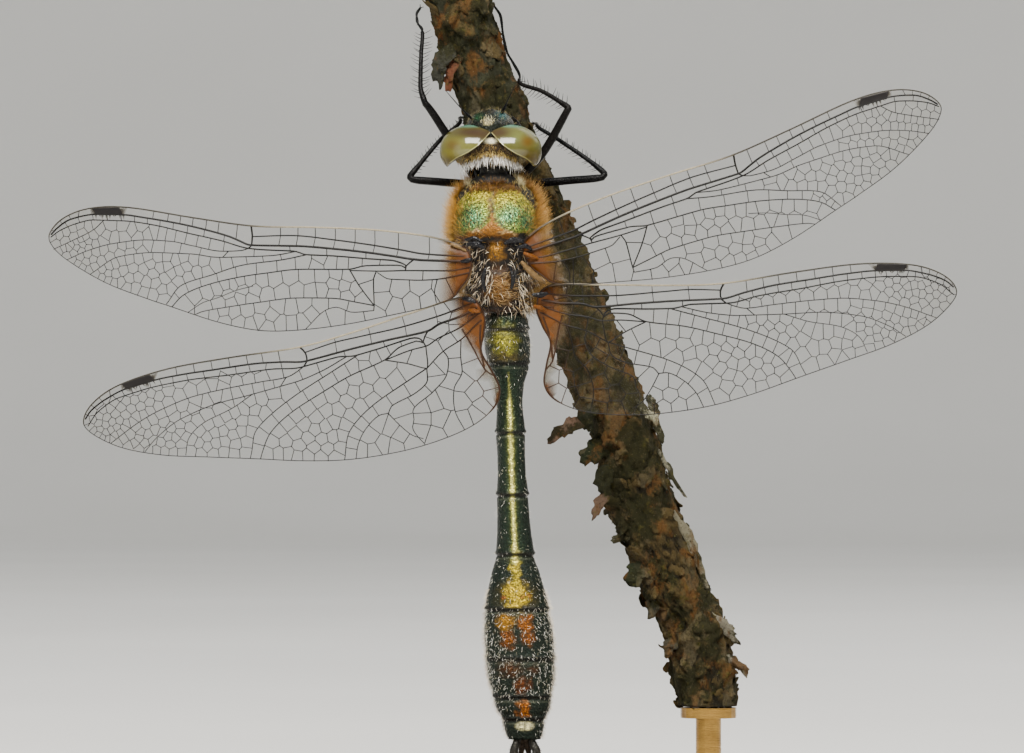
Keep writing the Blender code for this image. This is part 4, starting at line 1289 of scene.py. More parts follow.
class WingFrame:
    """Turns places on one wing into the animal's axes, pleats included."""

    def __init__(self, side, hinge, sweep, tilt, samples, levels, seed):
        sweep, tilt = math.radians(sweep), math.radians(tilt)
        level = math.cos(tilt)
        self.span = np.array([side * math.cos(sweep) * level, math.sin(tilt), math.sin(sweep) * level])
        self.chord = np.array([side * math.sin(sweep), 0.0, -math.cos(sweep)])
        self.out = -side * np.cross(self.span, self.chord)
        self.hinge, self.samples, self.levels, self.seed = np.array(hinge), samples, levels, seed

    def lift(self, flat):
        """How high places stand: the pleat level of the veins near them, and a broad wave."""
        total = np.empty(len(flat))
        for start in range(0, len(flat), 2000):
            part = slice(start, start + 2000)
            distance = ((flat[part][:, None] - self.samples[None]) ** 2).sum(axis=2)
            weight = 1 / (distance + 0.02) ** 2
            total[part] = (weight * self.levels).sum(axis=1) / weight.sum(axis=1)
        wave = np.sin(flat[:, 0] * 0.55 + self.seed) * np.sin(flat[:, 1] * 0.8 + self.seed * 2)
        return PLEAT * total + WAVE * wave

    def points(self, flat, extra=0.0):
        flat = np.asarray(flat, float)
        height = self.lift(flat) + extra
        return self.hinge + flat[:, :1] * self.span + flat[:, 1:2] * self.chord + height[:, None] * self.out


def vein_tint(flat, costa):
    """Black veins, tan at the root, with a pale front edge from the root to the nodus that is partly the
    costa's own colour and partly a painted highlight.
    """
    along = flat[:, :1]
    tint = mix(VEIN_BLACK, VEIN_TAN, 0.30 * (1 - smoothstep(0.6, 2.0, along)))
    if costa:
        # The pale front edge is partly the costa's own colour and partly a painted highlight.
        pale = 0.75 * (1 - smoothstep(13.0, 18.0, along)) * smoothstep(0.0, 5.0, along) + 0.08
        tint = mix(tint, VEIN_PALE_AND_HIGHLIGHT, pale)
    return tint


def build_veins(name, wing, mains, walls):
    """All veins of a wing as one piece: the main ones along their lines, and the walls between two ends."""
    flat = walls.reshape(-1, 2)
    strands = [(line, radius, costa, 1) for line, radius, costa in mains]
    strands.append((flat, np.interp(flat[:, 0], *WALL_RADII), False, 2))
    points, edges, radii, tints = [], [], [], []
    count = 0
    for line, radius, costa, step in strands:
        points.append(wing.points(line))
        edges += [(count + i, count + i + 1) for i in range(0, len(line) - 1, step)]
        radii.append(radius)
        tints.append(vein_tint(line, costa))
        count += len(line)
    mesh = bpy.data.meshes.new(name)
    mesh.from_pydata(place(np.vstack(points)).tolist(), edges, [])
    mesh.attributes.new("radius", "FLOAT", "POINT").data.foreach_set("value", np.concatenate(radii) * MM)
    tints = np.vstack(tints)
    store_colour(mesh, "tint", tints)
    store_colour(mesh, "trait", np.tile((0.0, 0.40, 1.0), (len(tints), 1)))
    made = run_nodes(mesh, VEIN_TUBES, Sides=VEIN_SIDES, Finish=VEIN)
    outward(made)
    finish_piece(made, name, VEIN)


def anal_triangle(u, v):
    """The amber triangle at the inner rear corner of a hindwing."""
    return smoothstep(0.05, -0.05, u - np.interp(v, (1.1, 4.8), (0.98, 0.15))) * (v > 0.9) * (v < 5.0)


def membrane_paint(kind, flat, stigma):
    """Clear film that is a little smoky at the tip and orange at the root, with a dark stigma."""
    u, v = flat[:, 0], flat[:, 1]
    tint = np.tile((0.080, 0.070, 0.045), (len(flat), 1))
    trait = np.tile((0.0, 0.12, 0.030), (len(flat), 1))
    trait[:, 2] += 0.08 * smoothstep(22.0, 32.0, u)

    def lay(mask, colour, alpha, rough=0.2):
        share = np.clip(mask, 0, 1)[:, None]
        tint[:] = tint * (1 - share) + np.array(colour) * share
        trait[:] = trait * (1 - share) + np.array((0.0, rough, alpha)) * share

    reach = 1.9 if kind == "fore" else np.maximum(1.6 * (1 - smoothstep(1.6, 2.6, v)), 0.05)
    lay((1 - smoothstep(reach * 0.5, reach * 1.1, u)) * 0.9, (0.105, 0.046, 0.002), 0.46)
    lay(1 - smoothstep(reach * 0.1, reach * 0.7, u), (0.075, 0.022, 0.0006), 0.93, 0.45)
    if kind == "hind":
        right = np.interp(v, (1.1, 2.6, 4.8, 6.2), (-0.6, -0.09, 0.15, -0.2))
        lay(anal_triangle(u, v), (0.085, 0.026, 0.0008), 0.95, 0.45)
        flap = smoothstep(0.04, -0.04, u - right) * smoothstep(2.6, 2.9, v) * (v < 6.6)
        lay(flap, (0.13, 0.120, 0.095), 0.80, 0.5)
    lay(stigma, (0.004, 0.003, 0.003), 1.0, 0.45)
    return tint, trait


def build_membrane(name, kind, wing, edge, lines, walls, middles, rng):
    """A thin closed film that dips or domes a little in each cell."""
    inner = np.vstack([walls.reshape(-1, 2), *lines])
    keep = inside_loop(edge * 0.9985 + edge.mean(axis=0) * 0.0015, inner[:, 0], inner[:, 1])
    stigma_edge = np.array(STIGMAS[kind])
    across, along = (
        share.reshape(-1, 1) for share in np.meshgrid(np.linspace(0.02, 0.98, 9), np.linspace(0.01, 0.99, 30))
    )
    front, rear = mix(stigma_edge[0], stigma_edge[3], along), mix(stigma_edge[1], stigma_edge[2], along)
    inner = np.vstack([inner[keep], mix(front, rear, across)])
    flat = np.vstack([edge, inner, middles])
    loop = list(range(len(edge)))
    filled = geometry.delaunay_2d_cdt([Vector(corner) for corner in flat], [], [loop], 1, 0.02)
    corners, _, faces, sources = filled[:4]
    flat = np.array([tuple(corner) for corner in corners])
    first_middle = len(edge) + len(inner)
    dome = np.array([any(index >= first_middle for index in source) for source in sources], float)
    dome *= rng.uniform(*CELL_DOME, len(dome))
    stigma = inside_loop(stigma_edge, flat[:, 0], flat[:, 1]).astype(float)
    tint, trait = membrane_paint(kind, flat, stigma)
    half = SHEET_HALF + STIGMA_HALF * stigma
    top, foot = wing.points(flat, dome + half), wing.points(flat, dome - half)
    count = len(flat)
    sided = dict.fromkeys((a, b) for face in faces for a, b in zip(face, face[1:] + face[:1]))
    rim = [(a, b, b + count, a + count) for a, b in sided if (b, a) not in sided]
    film = Shape()
    both = [list(face) for face in faces] + [[corner + count for corner in reversed(face)] for face in faces]
    film.add(np.vstack([top, foot]), both + rim, np.vstack([tint, tint]), np.vstack([trait, trait]))
    film.piece(name + "_membrane", MEMBRANE, "wing_membrane", (name,))


def build_wing(name, seed):
    """One wing: its veins, each with places, radii and whether it is the front edge, and its film."""
    kind, side, hinge, sweep, tilt = WING_PLACES[name]
    edge = smooth_loop(WING_EDGES[kind], 6)
    tip = int(edge[:, 0].argmax())
    mains = []
    samples, levels = [edge], [np.where(np.arange(len(edge)) < tip, 1.0, 0.0)]
    for root_radius, tip_radius, level, route in WING_VEINS[kind]:
        flat = spaced(route, VEIN_STEP)
        mains.append((flat, VEIN_FULL * taper(len(flat), (0, 1), (root_radius, tip_radius)), False))
        samples.append(flat)
        levels.append(np.full(len(flat), float(level)))
    front, rear = edge[: tip + 1], np.vstack([edge[tip:], edge[:1]])
    mains.append((front, taper(len(front), *COSTA_RADII), True))
    mains.append((rear, MARGIN_RADIUS * (1 + 1.1 * smoothstep(1.0, 0.3, rear[:, 0])), False))
    crossing = explicit_cross_veins(kind, edge)
    for line in crossing:
        flat = smooth_or_straight(line, CROSS_STEP)
        mains.append((flat, np.full(len(flat), CROSS_RADIUS), False))
    lines = [route for _, _, _, route in WING_VEINS[kind]] + crossing
    walls, middles = wing_net(kind, edge, lines, seed)
    if kind == "hind":
        walls = walls[anal_triangle(*walls.mean(axis=1).T) < 0.5]
    wing = WingFrame(side, hinge, sweep, tilt, np.vstack(samples), np.concatenate(levels), seed)
    build_veins(name + "_veins", wing, mains, walls)
    dense = [flat for flat, _, _ in mains]
    build_membrane(name, kind, wing, edge, dense, walls, middles, np.random.default_rng(seed + 50))


# Legs, feelers and claspers

# Each leg: the routes of its femur, tibia and foot, and how long its spines are.
LEGS = {
    "leg_fore_left": (
        [(-2.55, 2.8, 57.75), (-2.85, 4.05, 59.0), (-3.3, 4.5, 60.7)],
        [(-3.32, 4.55, 61.12), (-2.95, 4.75, 61.9), (-2.4, 4.62, 62.45)],
        [(-2.12, 4.6, 62.52), (-1.75, 4.58, 62.66), (-1.3, 4.6, 62.7)], 0.3,
    ),
    "leg_fore_right": (
        [(-0.15, 2.8, 57.75), (0.55, 3.95, 59.0), (0.8, 4.5, 60.7)],
        [(0.78, 4.62, 61.12), (0.4, 4.9, 61.85), (-0.05, 4.88, 62.28)],
        [(-0.28, 4.86, 62.42), (-0.55, 4.78, 62.62), (-0.85, 4.68, 62.9)], 0.3,
    ),
    "leg_mid_left": (
        [(-2.6, 3.95, 57.15), (-3.7, 4.25, 58.7), (-5.05, 4.0, 60.82), (-6.62, 3.75, 63.18)],
        [(-6.88, 3.75, 63.6), (-7.17, 4.2, 64.75), (-7.12, 5.1, 67.36), (-7.02, 5.9, 68.85)],
        [(-7.06, 6.1, 69.22), (-7.42, 6.5, 69.8), (-7.5, 6.9, 70.45), (-7.22, 7.25, 70.98)], 0.62,
    ),
    "leg_mid_right": (
        [(0.1, 3.95, 57.15), (1.15, 4.2, 58.1), (2.35, 4.0, 59.4), (4.28, 3.65, 62.72)],
        [(4.2, 3.8, 63.2), (2.35, 4.9, 64.36), (0.55, 5.92, 65.15)],
        [
            (0.62, 6.3, 65.5), (0.05, 6.35, 66.7), (-0.38, 6.32, 67.45), (-0.68, 6.02, 68.7),
            (-0.9, 5.98, 70.3), (-1.35, 5.56, 71.0),
        ], 0.6,
    ),
    "leg_hind_left": (
        [(-2.9, 4.9, 55.7), (-3.45, 4.55, 57.0), (-5.55, 3.95, 57.22), (-7.84, 3.5, 57.42)],
        [(-7.66, 3.66, 58.06), (-5.5, 4.75, 60.66), (-4.04, 6.18, 62.08)],
        [(-4.12, 6.85, 62.3), (-4.02, 7.85, 62.38), (-3.78, 8.8, 62.4)], 0.34,
    ),
    "leg_hind_right": (
        [(0.5, 4.9, 55.7), (1.6, 4.55, 57.06), (4.25, 3.8, 57.32), (7.12, 3.1, 57.58)],
        [(6.86, 3.36, 58.24), (3.5, 4.95, 60.66), (1.98, 6.1, 61.68)],
        [(1.94, 6.8, 61.86), (1.86, 7.75, 61.9), (1.6, 8.7, 61.95)], 0.42,
    ),
}
LIMB_BLACK, LIMB_BROWN = (0.0022, 0.0024, 0.0026), (0.012, 0.007, 0.004)
FEELERS = {
    "antenna_left": [(-2.85, 1.25, 61.75), (-3.28, 0.85, 62.2), (-4.2, 0.5, 63.15), (-5.12, 0.3, 64.2)],
    "antenna_right": [(-0.85, 1.35, 62.45), (-0.62, 1.0, 62.86), (-0.25, 0.75, 63.7), (0.2, 0.5, 64.6)],
}
CERCI = {
    "cercus_left": [
        (0.42, -0.1, 14.0), (0.32, -0.2, 13.5), (0.14, -0.3, 12.8), (0.15, -0.3, 11.95),
        (0.26, -0.22, 11.2),
    ],
    "cercus_right": [
        (1.52, -0.1, 14.0), (1.62, -0.2, 13.5), (1.9, -0.3, 12.8), (1.92, -0.3, 11.95),
        (1.8, -0.22, 11.2),
    ],
}
# The fork under the claspers: its middle x, and one prong as distance from it, y and z.
FORK_X, FORK = 1.0, ((0.0, 0.55, 14.0), (0.18, 0.62, 13.3), (0.34, 0.62, 12.4), (0.42, 0.5, 11.7))
SPINE_RADIUS = 0.034
CLAW_STEPS, LIMB_STEPS = 9, {"femur": 22, "tibia": 20, "foot": 25, "feeler": 26, "clasper": 26, "fork": 16}
# A hair has three rings of three corners, at shares of its length, and its tip.
SPIKE_RINGS = ((0.0, 1.0), (0.45, 0.78), (0.8, 0.45))
SPIKE_CORNERS = 10
PATCH = 0.0015  # half of a hair's patch on the OFBake map


def spikes(roots, directions, lengths, radii, bends, places=None):
    """Points, faces and patches of many thin three-sided hairs, each closed at its root."""
    count = len(roots)
    lengths, radii = np.broadcast_to(lengths, count), np.broadcast_to(radii, count)
    across = unit(np.cross(directions, np.roll(directions, 1, axis=1) + 0.31))
    other = np.cross(directions, across)
    turn = full_turn(3)
    ring = np.cos(turn)[:, None] * across[:, None] + np.sin(turn)[:, None] * other[:, None]
    points = np.empty((count, SPIKE_CORNERS, 3))
    for level, (share, width) in enumerate(SPIKE_RINGS):
        middle = roots + lengths[:, None] * (directions * share + bends * share**2)
        points[:, level * 3:level * 3 + 3] = middle[:, None] + ring * (radii * width)[:, None, None]
    points[:, 9] = roots + lengths[:, None] * (directions + bends)
    pattern = [(2, 1, 0), (6, 7, 9), (7, 8, 9), (8, 6, 9)]
    for level in (0, 3):
        for side in range(3):
            after = (side + 1) % 3
            pattern.append((level + side, level + after, level + after + 3, level + side + 3))
    starts = np.arange(count) * SPIKE_CORNERS
    faces = [[int(start) + corner for corner in face] for start in starts for face in pattern]
    patches = None
    if places is not None:
        spread = PATCH * np.stack([np.cos(turn), np.sin(turn)], axis=1)
        levels = np.vstack([spread, spread * 0.66, spread * 0.33, [[0.0, 0.0]]])
        patches = (places[:, None] + levels[None]).reshape(-1, 2)
    return points.reshape(-1, 3), faces, patches


def along_path(path, shares):
    """Places and directions at shares of a path's length."""
    lengths = path_lengths(path)

    def place_at(distance):
        return np.stack([np.interp(distance, lengths, path[:, axis]) for axis in range(3)], axis=1)

    at = shares * lengths[-1]
    return place_at(at), unit(place_at(at + 0.05) - place_at(at - 0.05))


def limb_spines(leg, path, radius, length, pitch, rows, rng):
    """Rows of spines that lean towards the foot."""
    total = np.linalg.norm(np.diff(path, axis=0), axis=1).sum()
    count = max(3, int(total / pitch))
    for row in rows:
        shares = np.linspace(0.08, 0.96, count) + rng.uniform(-0.02, 0.02, count)
        spots, along = along_path(path, np.clip(shares, 0, 1))
        across = unit(np.cross(along, BACK))
        deep = np.cross(along, across)
        outwards = math.cos(row) * across + math.sin(row) * deep
        directions = unit(outwards + 0.5 * along + rng.normal(0, 0.10, along.shape))
        sizes = length * rng.uniform(0.8, 1.2, count)
        roots = spots + outwards * radius * 0.6
        points, faces, _ = spikes(roots, directions, sizes, SPINE_RADIUS, along * 0.15)
        leg.add(points, faces, LIMB_BLACK, (0.1, 0.35, 1.0))


def build_leg(name, seed):
    """One leg: femur, tibia and beaded foot in one run of joints, with rows of spines and two claws."""
    femur, tibia, foot, spine = (np.array(part) for part in LEGS[name])
    rng = np.random.default_rng(seed)
    leg = Shape()
    knee = (femur[-1] + tibia[0]) / 2 + 0.16 * (unit(femur[-1] - femur[-2]) + unit(tibia[0] - tibia[1]))
    ankle = (tibia[-1] + foot[0]) / 2
    start = femur[0] - unit(femur[1] - femur[0]) * 0.7
    femur = smooth_path([start, *femur, knee], LIMB_STEPS["femur"])
    tibia = smooth_path([knee, *tibia, ankle], LIMB_STEPS["tibia"])
    foot = smooth_path([ankle, *foot], LIMB_STEPS["foot"])
    thick = taper(len(femur), (0, 0.25, 0.85, 1), (0.32, 0.35, 0.31, 0.27))
    thin = taper(len(tibia), (0, 0.06, 0.2, 1), (0.24, 0.25, 0.19, 0.15))
    along_foot = np.linspace(0, 1, len(foot))
    beads = 0.105 - 0.022 * np.cos(along_foot * 2 * math.pi * 3) * np.linspace(1, 0.7, len(foot))
    for path, radii in ((femur, thick), (tibia, thin), (foot, beads)):
        leg.add_tube(path, radii, 12, mix(LIMB_BLACK, LIMB_BROWN, rng.uniform(0, 0.25)), (0.15, 0.30, 1.0))
    limb_spines(leg, tibia, 0.16, spine * 1.25, 0.36, (0.25, math.pi - 0.25), rng)
    limb_spines(leg, femur[5:], 0.28, spine * 0.35, 0.30, (0.8, math.pi - 0.8, -1.3), rng)
    limb_spines(leg, foot, 0.09, 0.16, 0.30, (0.9, math.pi - 0.9), rng)
    tip, along = foot[-1], unit(foot[-1] - foot[-3])
    across = unit(np.cross(along, BACK + 0.2 * SIDE))
    for side in (-1, 1):
        claw = [tip]
        for ahead, aside, hooked in ((0.16, 0.10, 0.0), (0.26, 0.16, 0.08), (0.24, 0.20, 0.20)):
            claw.append(tip + along * ahead + across * side * aside - BACK * hooked)
        claw = smooth_path(claw, CLAW_STEPS)
        leg.add_tube(claw, np.linspace(0.045, 0.012, CLAW_STEPS), 6, LIMB_BROWN, (0.1, 0.3, 1.0))
    leg.piece(name, LIMB, "leg_cuticle", [f"{name}_{part}" for part in ("femur", "tibia", "tarsus")])


def build_feelers():
    """Short feelers: two stout bead-like segments, then a fine bristle."""
    beads = ((0, 0.10, 0.16, 0.22, 0.32, 0.38, 1), (0.12, 0.15, 0.10, 0.12, 0.10, 0.055, 0.022))
    for name, route in FEELERS.items():
        path = smooth_path(route, LIMB_STEPS["feeler"])
        feeler = Shape()
        feeler.add_tube(path, taper(len(path), *beads), 10, LIMB_BLACK, (0.1, 0.32, 1.0))
        feeler.piece(name + "_fine", LIMB, "body_cuticle", (name,))


def build_claspers():
    """Two swollen, pointed upper claspers with hairs, and the forked plate below them."""
    rng = np.random.default_rng(71)
    for name, route in CERCI.items():
        path = smooth_path(route, LIMB_STEPS["clasper"])
        radii = taper(len(path), (0, 0.25, 0.6, 0.85, 1), (0.24, 0.30, 0.38, 0.30, 0.10))
        clasper = Shape()
        clasper.add_tube(path, radii, 16, (0.012, 0.011, 0.009), (0.3, 0.34, 0.3), 0.8)
        limb_spines(clasper, path, 0.30, 0.30, 0.16, (0.4, 1.6, 2.7, -0.6, -2.4), rng)
        clasper.piece(name + "_fine", CUTICLE, "body_cuticle", (name,))
    fork = Shape()
    for side in (-1, 1):
        route = [(FORK_X + side * aside, y, z) for aside, y, z in FORK]
        path = smooth_path(route, LIMB_STEPS["fork"])
        radii = np.linspace(0.34, 0.12, len(path))
        fork.add_tube(path, radii, 14, (0.03, 0.018, 0.010), (0.2, 0.4, 0.3), 0.7)
    fork.piece("epiproct_fine", CUTICLE, "body_cuticle", ("epiproct",))


# Twig: scaly bark with lifted flakes

TWIG_ROWS, TWIG_COLUMNS = 250, 150
BARK_DEPTH = 0.10  # how deep the bark's middle lies under the solid's surface
FLAKE_STEPS = 14
# The second of these is painted shade for the bark's hollows.
BARK_TINT, BARK_HOLLOW_SHADE, LICHEN_PALE = (0.088, 0.062, 0.022), (0.010, 0.008, 0.003), (0.46, 0.44, 0.30)
CRUST_GREY, CRUST_RUST = (0.040, 0.042, 0.022), (0.15, 0.062, 0.014)  # the twig above the head
SCALE_GREY, SCALE_OLIVE = (0.030, 0.034, 0.020), (0.022, 0.028, 0.012)
# Lifted bark: route, half width at its root and tip, colour.
FLAKES = [
    ([(-4.7, 5.2, 67.5), (-5.45, 5.0, 66.9), (-5.75, 5.0, 65.9), (-5.6, 5.1, 64.9)],
     0.62, 0.26, (0.04, 0.04, 0.03)),
    ([(-4.3, 5.4, 66.9), (-4.85, 5.2, 66.0), (-5.0, 5.1, 65.2), (-4.95, 5.1, 64.3)],
     0.46, 0.18, (0.15, 0.05, 0.024)),
    ([(5.6, 7.2, 38.6), (4.6, 6.6, 38.1), (3.5, 6.3, 37.5), (3.0, 6.5, 36.9)],
     0.55, 0.3, (0.21, 0.125, 0.085)),
    ([(7.9, 7.4, 32.9), (7.1, 7.0, 32.4), (6.7, 6.9, 31.6), (6.35, 7.0, 30.9)],
     0.42, 0.2, (0.15, 0.095, 0.062)),
    ([(7.4, 7.6, 36.5), (6.4, 7.3, 36.1), (5.8, 7.2, 35.4)], 0.8, 0.55, SCALE_OLIVE),
    ([(9.9, 7.2, 39.9), (10.8, 6.9, 39.0), (11.5, 6.9, 37.9), (11.85, 7.1, 36.8)], 0.36, 0.18, LICHEN_PALE),
    ([(11.4, 8.0, 36.2), (12.3, 7.6, 34.8), (12.9, 7.5, 33.6), (13.7, 7.7, 32.5)],
     0.22, 0.08, (0.3, 0.28, 0.2)),
    ([(12.7, 8.0, 31.0), (13.9, 7.6, 29.4), (14.6, 7.6, 27.6), (15.3, 7.8, 25.4)],
     0.38, 0.16, (0.24, 0.22, 0.15)),
    ([(10.9, 8.0, 27.2), (10.0, 7.7, 26.7), (9.5, 7.5, 25.8)], 0.85, 0.55, SCALE_OLIVE),
    ([(9.6, 8.2, 29.6), (8.7, 7.9, 29.3), (8.0, 7.9, 29.1)], 0.34, 0.26, LICHEN_PALE),
    ([(2.3, 6.2, 52.5), (3.1, 5.9, 51.8), (3.7, 5.9, 50.9)], 0.4, 0.2, (0.3, 0.25, 0.18)),
    ([(15.7, 8.2, 23.0), (16.9, 7.9, 22.2), (17.8, 8.0, 21.0)], 0.45, 0.2, (0.25, 0.23, 0.17)),
    ([(8.1, 7.4, 35.3), (7.4, 7.1, 34.4), (7.2, 7.1, 33.4), (7.5, 7.2, 32.4)], 0.62, 0.4, SCALE_GREY),
    ([(9.7, 8.0, 31.6), (8.9, 7.6, 30.9), (8.6, 7.6, 30.0)], 0.6, 0.4, SCALE_GREY),
    ([(12.0, 8.3, 25.0), (11.2, 7.9, 24.3), (10.9, 7.9, 23.2)], 0.6, 0.36, (0.03, 0.03, 0.022)),
    ([(13.4, 8.4, 21.6), (12.5, 8.0, 20.9), (12.1, 8.0, 20.0)], 0.5, 0.3, (0.045, 0.04, 0.026)),
    ([(17.0, 8.3, 19.8), (17.9, 8.0, 19.3), (18.5, 8.0, 18.6)], 0.42, 0.22, (0.3, 0.28, 0.21)),
    ([(6.3, 7.0, 39.9), (5.9, 6.7, 38.9), (6.1, 6.7, 37.9)], 0.6, 0.4, SCALE_GREY),
    ([(10.9, 7.2, 40.3), (11.2, 6.9, 39.6), (11.3, 6.9, 38.9)], 0.4, 0.26, (0.36, 0.35, 0.26)),
]


def bark_height(point):
    """Layered scales of bark: broad lumps, stepped plates, cracks between them and fine grit."""
    broad = noise.noise(point * 0.42) * 0.20
    sway = (noise.noise(point * 1.1), noise.noise(point * 1.1 + Vector((7, 3, 1))), 0.0)
    warped = point + Vector(sway) * 0.5
    drawn = Vector((warped.x, warped.y, warped.z * 0.62))
    layers = (noise.fractal(drawn * 1.25, 1.0, 2.1, 4) + 0.8) * 3.2
    step = math.floor(layers)
    rise = layers - step
    plates = (step + min(1.0, max(0.0, (rise - 0.40) / 0.22))) * 0.100 - 0.30
    near = noise.voronoi(drawn * 1.2)[0]
    crack = max(0.0, 1.0 - (near[1] - near[0]) / 0.12) * -0.13
    grit = noise.fractal(point * 4.2, 0.9, 2.2, 3) * 0.090
    return broad + plates + crack + grit


def build_twig():
    """The twig's bark over the plain solid, with painted shade in its hollows, and the flakes that stand off
    it.
    """
    rows = np.array(cad_rings("perch_branch"))
    foot, top = rows[0, 0], rows[-1, 0]
    rows = smooth_values(rows[:, 0], rows, np.linspace(foot, top, TWIG_ROWS))
    height, middle, half, low, high = (rows[:, column:column + 1] for column in range(5))
    angle = full_turn(TWIG_COLUMNS)
    points = np.empty((TWIG_ROWS, TWIG_COLUMNS, 3))
    points[..., 0] = middle + (half - BARK_DEPTH) * np.cos(angle)
    points[..., 1] = (low + high) / 2 + ((high - low) / 2 - BARK_DEPTH) * np.sin(angle)
    points[..., 2] = height
    out = surface_normals(points)
    relief = np.array([bark_height(Vector(point)) for point in points.reshape(-1, 3)])
    relief = relief.reshape(TWIG_ROWS, TWIG_COLUMNS)
    ends = smoothstep(0.0, 0.8, height - foot) * smoothstep(0.0, 0.5, top - height)
    points = points + out * (relief * (0.25 + 0.75 * ends))[..., None]
    points[0, :, 2], points[-1, :, 2] = foot, top
    corners, faces = ring_surface(points)
    # Painted shade and light: the bark is darker in its hollows and lighter on its raised scales, as the
    # relief says.
    lit = np.concatenate([smoothstep(-0.25, 0.15, relief).ravel(), [0.5, 0.5]])[:, None]
    over_head = smoothstep(58.0, 64.0, corners[:, 2:])
    patch = smoothstep(0.14, 0.26, noise_at(corners, 0.55, (3.0, 0.0, 8.0)))[:, None]
    crust = mix(CRUST_GREY, CRUST_RUST, patch) * (0.55 + 0.45 * lit)
    twig = Shape()
    twig.add(corners, faces, mix(mix(BARK_HOLLOW_SHADE, BARK_TINT, lit), crust, over_head))
    piece = twig.piece("perch_branch_bark", BARK, "pine_bark", ("perch_branch",))
    flakes = Shape()
    for route, root, tip, colour in FLAKES:
        path = smooth_path(route, FLAKE_STEPS)
        widths = taper(FLAKE_STEPS, (0, 0.35, 0.75, 1), (root * 0.8, root, (root + tip) / 2, tip))
        across = unit(np.cross(path[-1] - path[0], BACK))
        points, faces = tube(path, widths * 1.15, 24, 0.24, unit(BACK + 0.5 * across))
        jag = np.array([noise.fractal(Vector(point) * 1.9, 0.8, 2.2, 3) for point in points])[:, None]
        points = points + 0.42 * jag * unit(points - points.mean(axis=0))
        flakes.add(points, faces, colour)
    flakes.piece("bark_flakes", BARK, "pine_bark")
    return piece


# Small scales strewn over the twig: how many to a square metre, and their smallest and largest size.
STREWN = {"bark_scales": (5.5e5, 0.30, 0.95), "bark_plates": (6.0e4, 1.0, 1.9)}
SCALE_ROWS, SCALE_COLUMNS, SCALE_THICKNESS = 5, 4, 0.055


def build_scatter_tree():
    """Geometry nodes that strew small flakes over a surface."""
    tree, given, result = new_tree("strewn_flakes", (
        ("Flake", "Object"), ("Density", "Float"), ("Smallest", "Float"), ("Largest", "Float"),
        ("Finish", "Material"),
    ))
    strewn, placed, flake, realized, painted = new_nodes(tree, "GeometryNode", (
        "DistributePointsOnFaces", "InstanceOnPoints", "ObjectInfo", "RealizeInstances", "SetMaterial",
    ))
    turned, spun, size, spin, to_turn = new_nodes(tree, "FunctionNode", (
        "AlignRotationToVector", "RotateRotation", "RandomValue", "RandomValue", "EulerToRotation",
    ))
    turned.axis, spun.rotation_space = "Z", "LOCAL"
    spin.data_type = "FLOAT_VECTOR"
    for node, seed in ((strewn, 5), (size, 8), (spin, 9)):
        node.inputs["Seed"].default_value = seed
    spin.inputs[0].default_value, spin.inputs[1].default_value = (-0.25, -0.1, 0.0), (0.25, 0.3, 2 * math.pi)
    link_all(tree, (
        (given["Geometry"], strewn.inputs["Mesh"]), (given["Density"], strewn.inputs["Density"]),
        (strewn.outputs["Points"], placed.inputs["Points"]), (spin.outputs[0], to_turn.inputs[0]),
        (strewn.outputs["Normal"], turned.inputs["Vector"]), (turned.outputs[0], spun.inputs[0]),
        (to_turn.outputs[0], spun.inputs[1]), (spun.outputs[0], placed.inputs["Rotation"]),
        (given["Smallest"], size.inputs[2]), (given["Largest"], size.inputs[3]),
        (size.outputs[1], placed.inputs["Scale"]), (given["Flake"], flake.inputs[0]),
        (flake.outputs["Geometry"], placed.inputs["Instance"]), (placed.outputs[0], realized.inputs[0]),
        (realized.outputs[0], painted.inputs["Geometry"]), (given["Finish"], painted.inputs["Material"]),
        (painted.outputs[0], result[0]),
    ))
    return tree


def build_flake():
    """A small curled scale of bark, closed all round."""
    u, v = (np.linspace(-0.5, 0.5, count) for count in (SCALE_ROWS, SCALE_COLUMNS))
    u, v = np.meshgrid(u, v, indexing="ij")
    lift = 0.02 + 0.34 * (u + 0.5) ** 2 - 0.35 * v**2
    v = v * (1.0 - 0.5 * np.abs(u)) + 0.10 * np.sin(u * 9)
    u = u * (1.0 + 0.22 * np.sin(v * 7.0 + 1.0))
    top = np.stack([u, v * 0.75, lift], axis=-1).reshape(-1, 3)
    under = top - np.array([0.0, 0.0, SCALE_THICKNESS])
    count = len(top)
    corner = np.arange(count).reshape(SCALE_ROWS, SCALE_COLUMNS).tolist()
    faces = []
    for row, after in zip(corner, corner[1:]):
        for a, b, c, d in zip(row, after, after[1:], row[1:]):
            faces += [(a, b, c, d), (d + count, c + count, b + count, a + count)]
    rim = [row[0] for row in corner] + corner[-1][1:-1]
    rim += [row[-1] for row in corner[::-1]] + corner[0][-2:0:-1]
    faces += [(b, a, a + count, b + count) for a, b in zip(rim, rim[1:] + rim[:1])]
    mesh = bpy.data.meshes.new("one_flake")
    mesh.from_pydata((np.vstack([top, under]) * MM).tolist(), [], faces)
    store_colour(mesh, "tint", np.tile(BARK_TINT, (2 * count, 1)))
    outward(mesh)
    return bpy.data.objects.new("one_flake", mesh)


def strew_flakes(twig):
    """Small curled scales over the whole twig."""
    flake, tree = build_flake(), build_scatter_tree()
    for name, (density, smallest, largest) in STREWN.items():
        sizes = {"Density": density, "Smallest": smallest, "Largest": largest}
        made = run_nodes(twig.data.copy(), tree, Flake=flake, Finish=BARK, **sizes)
        finish_piece(made, name, BARK)
    bpy.data.objects.remove(flake)


# Coat: solid hairs rooted on the skin

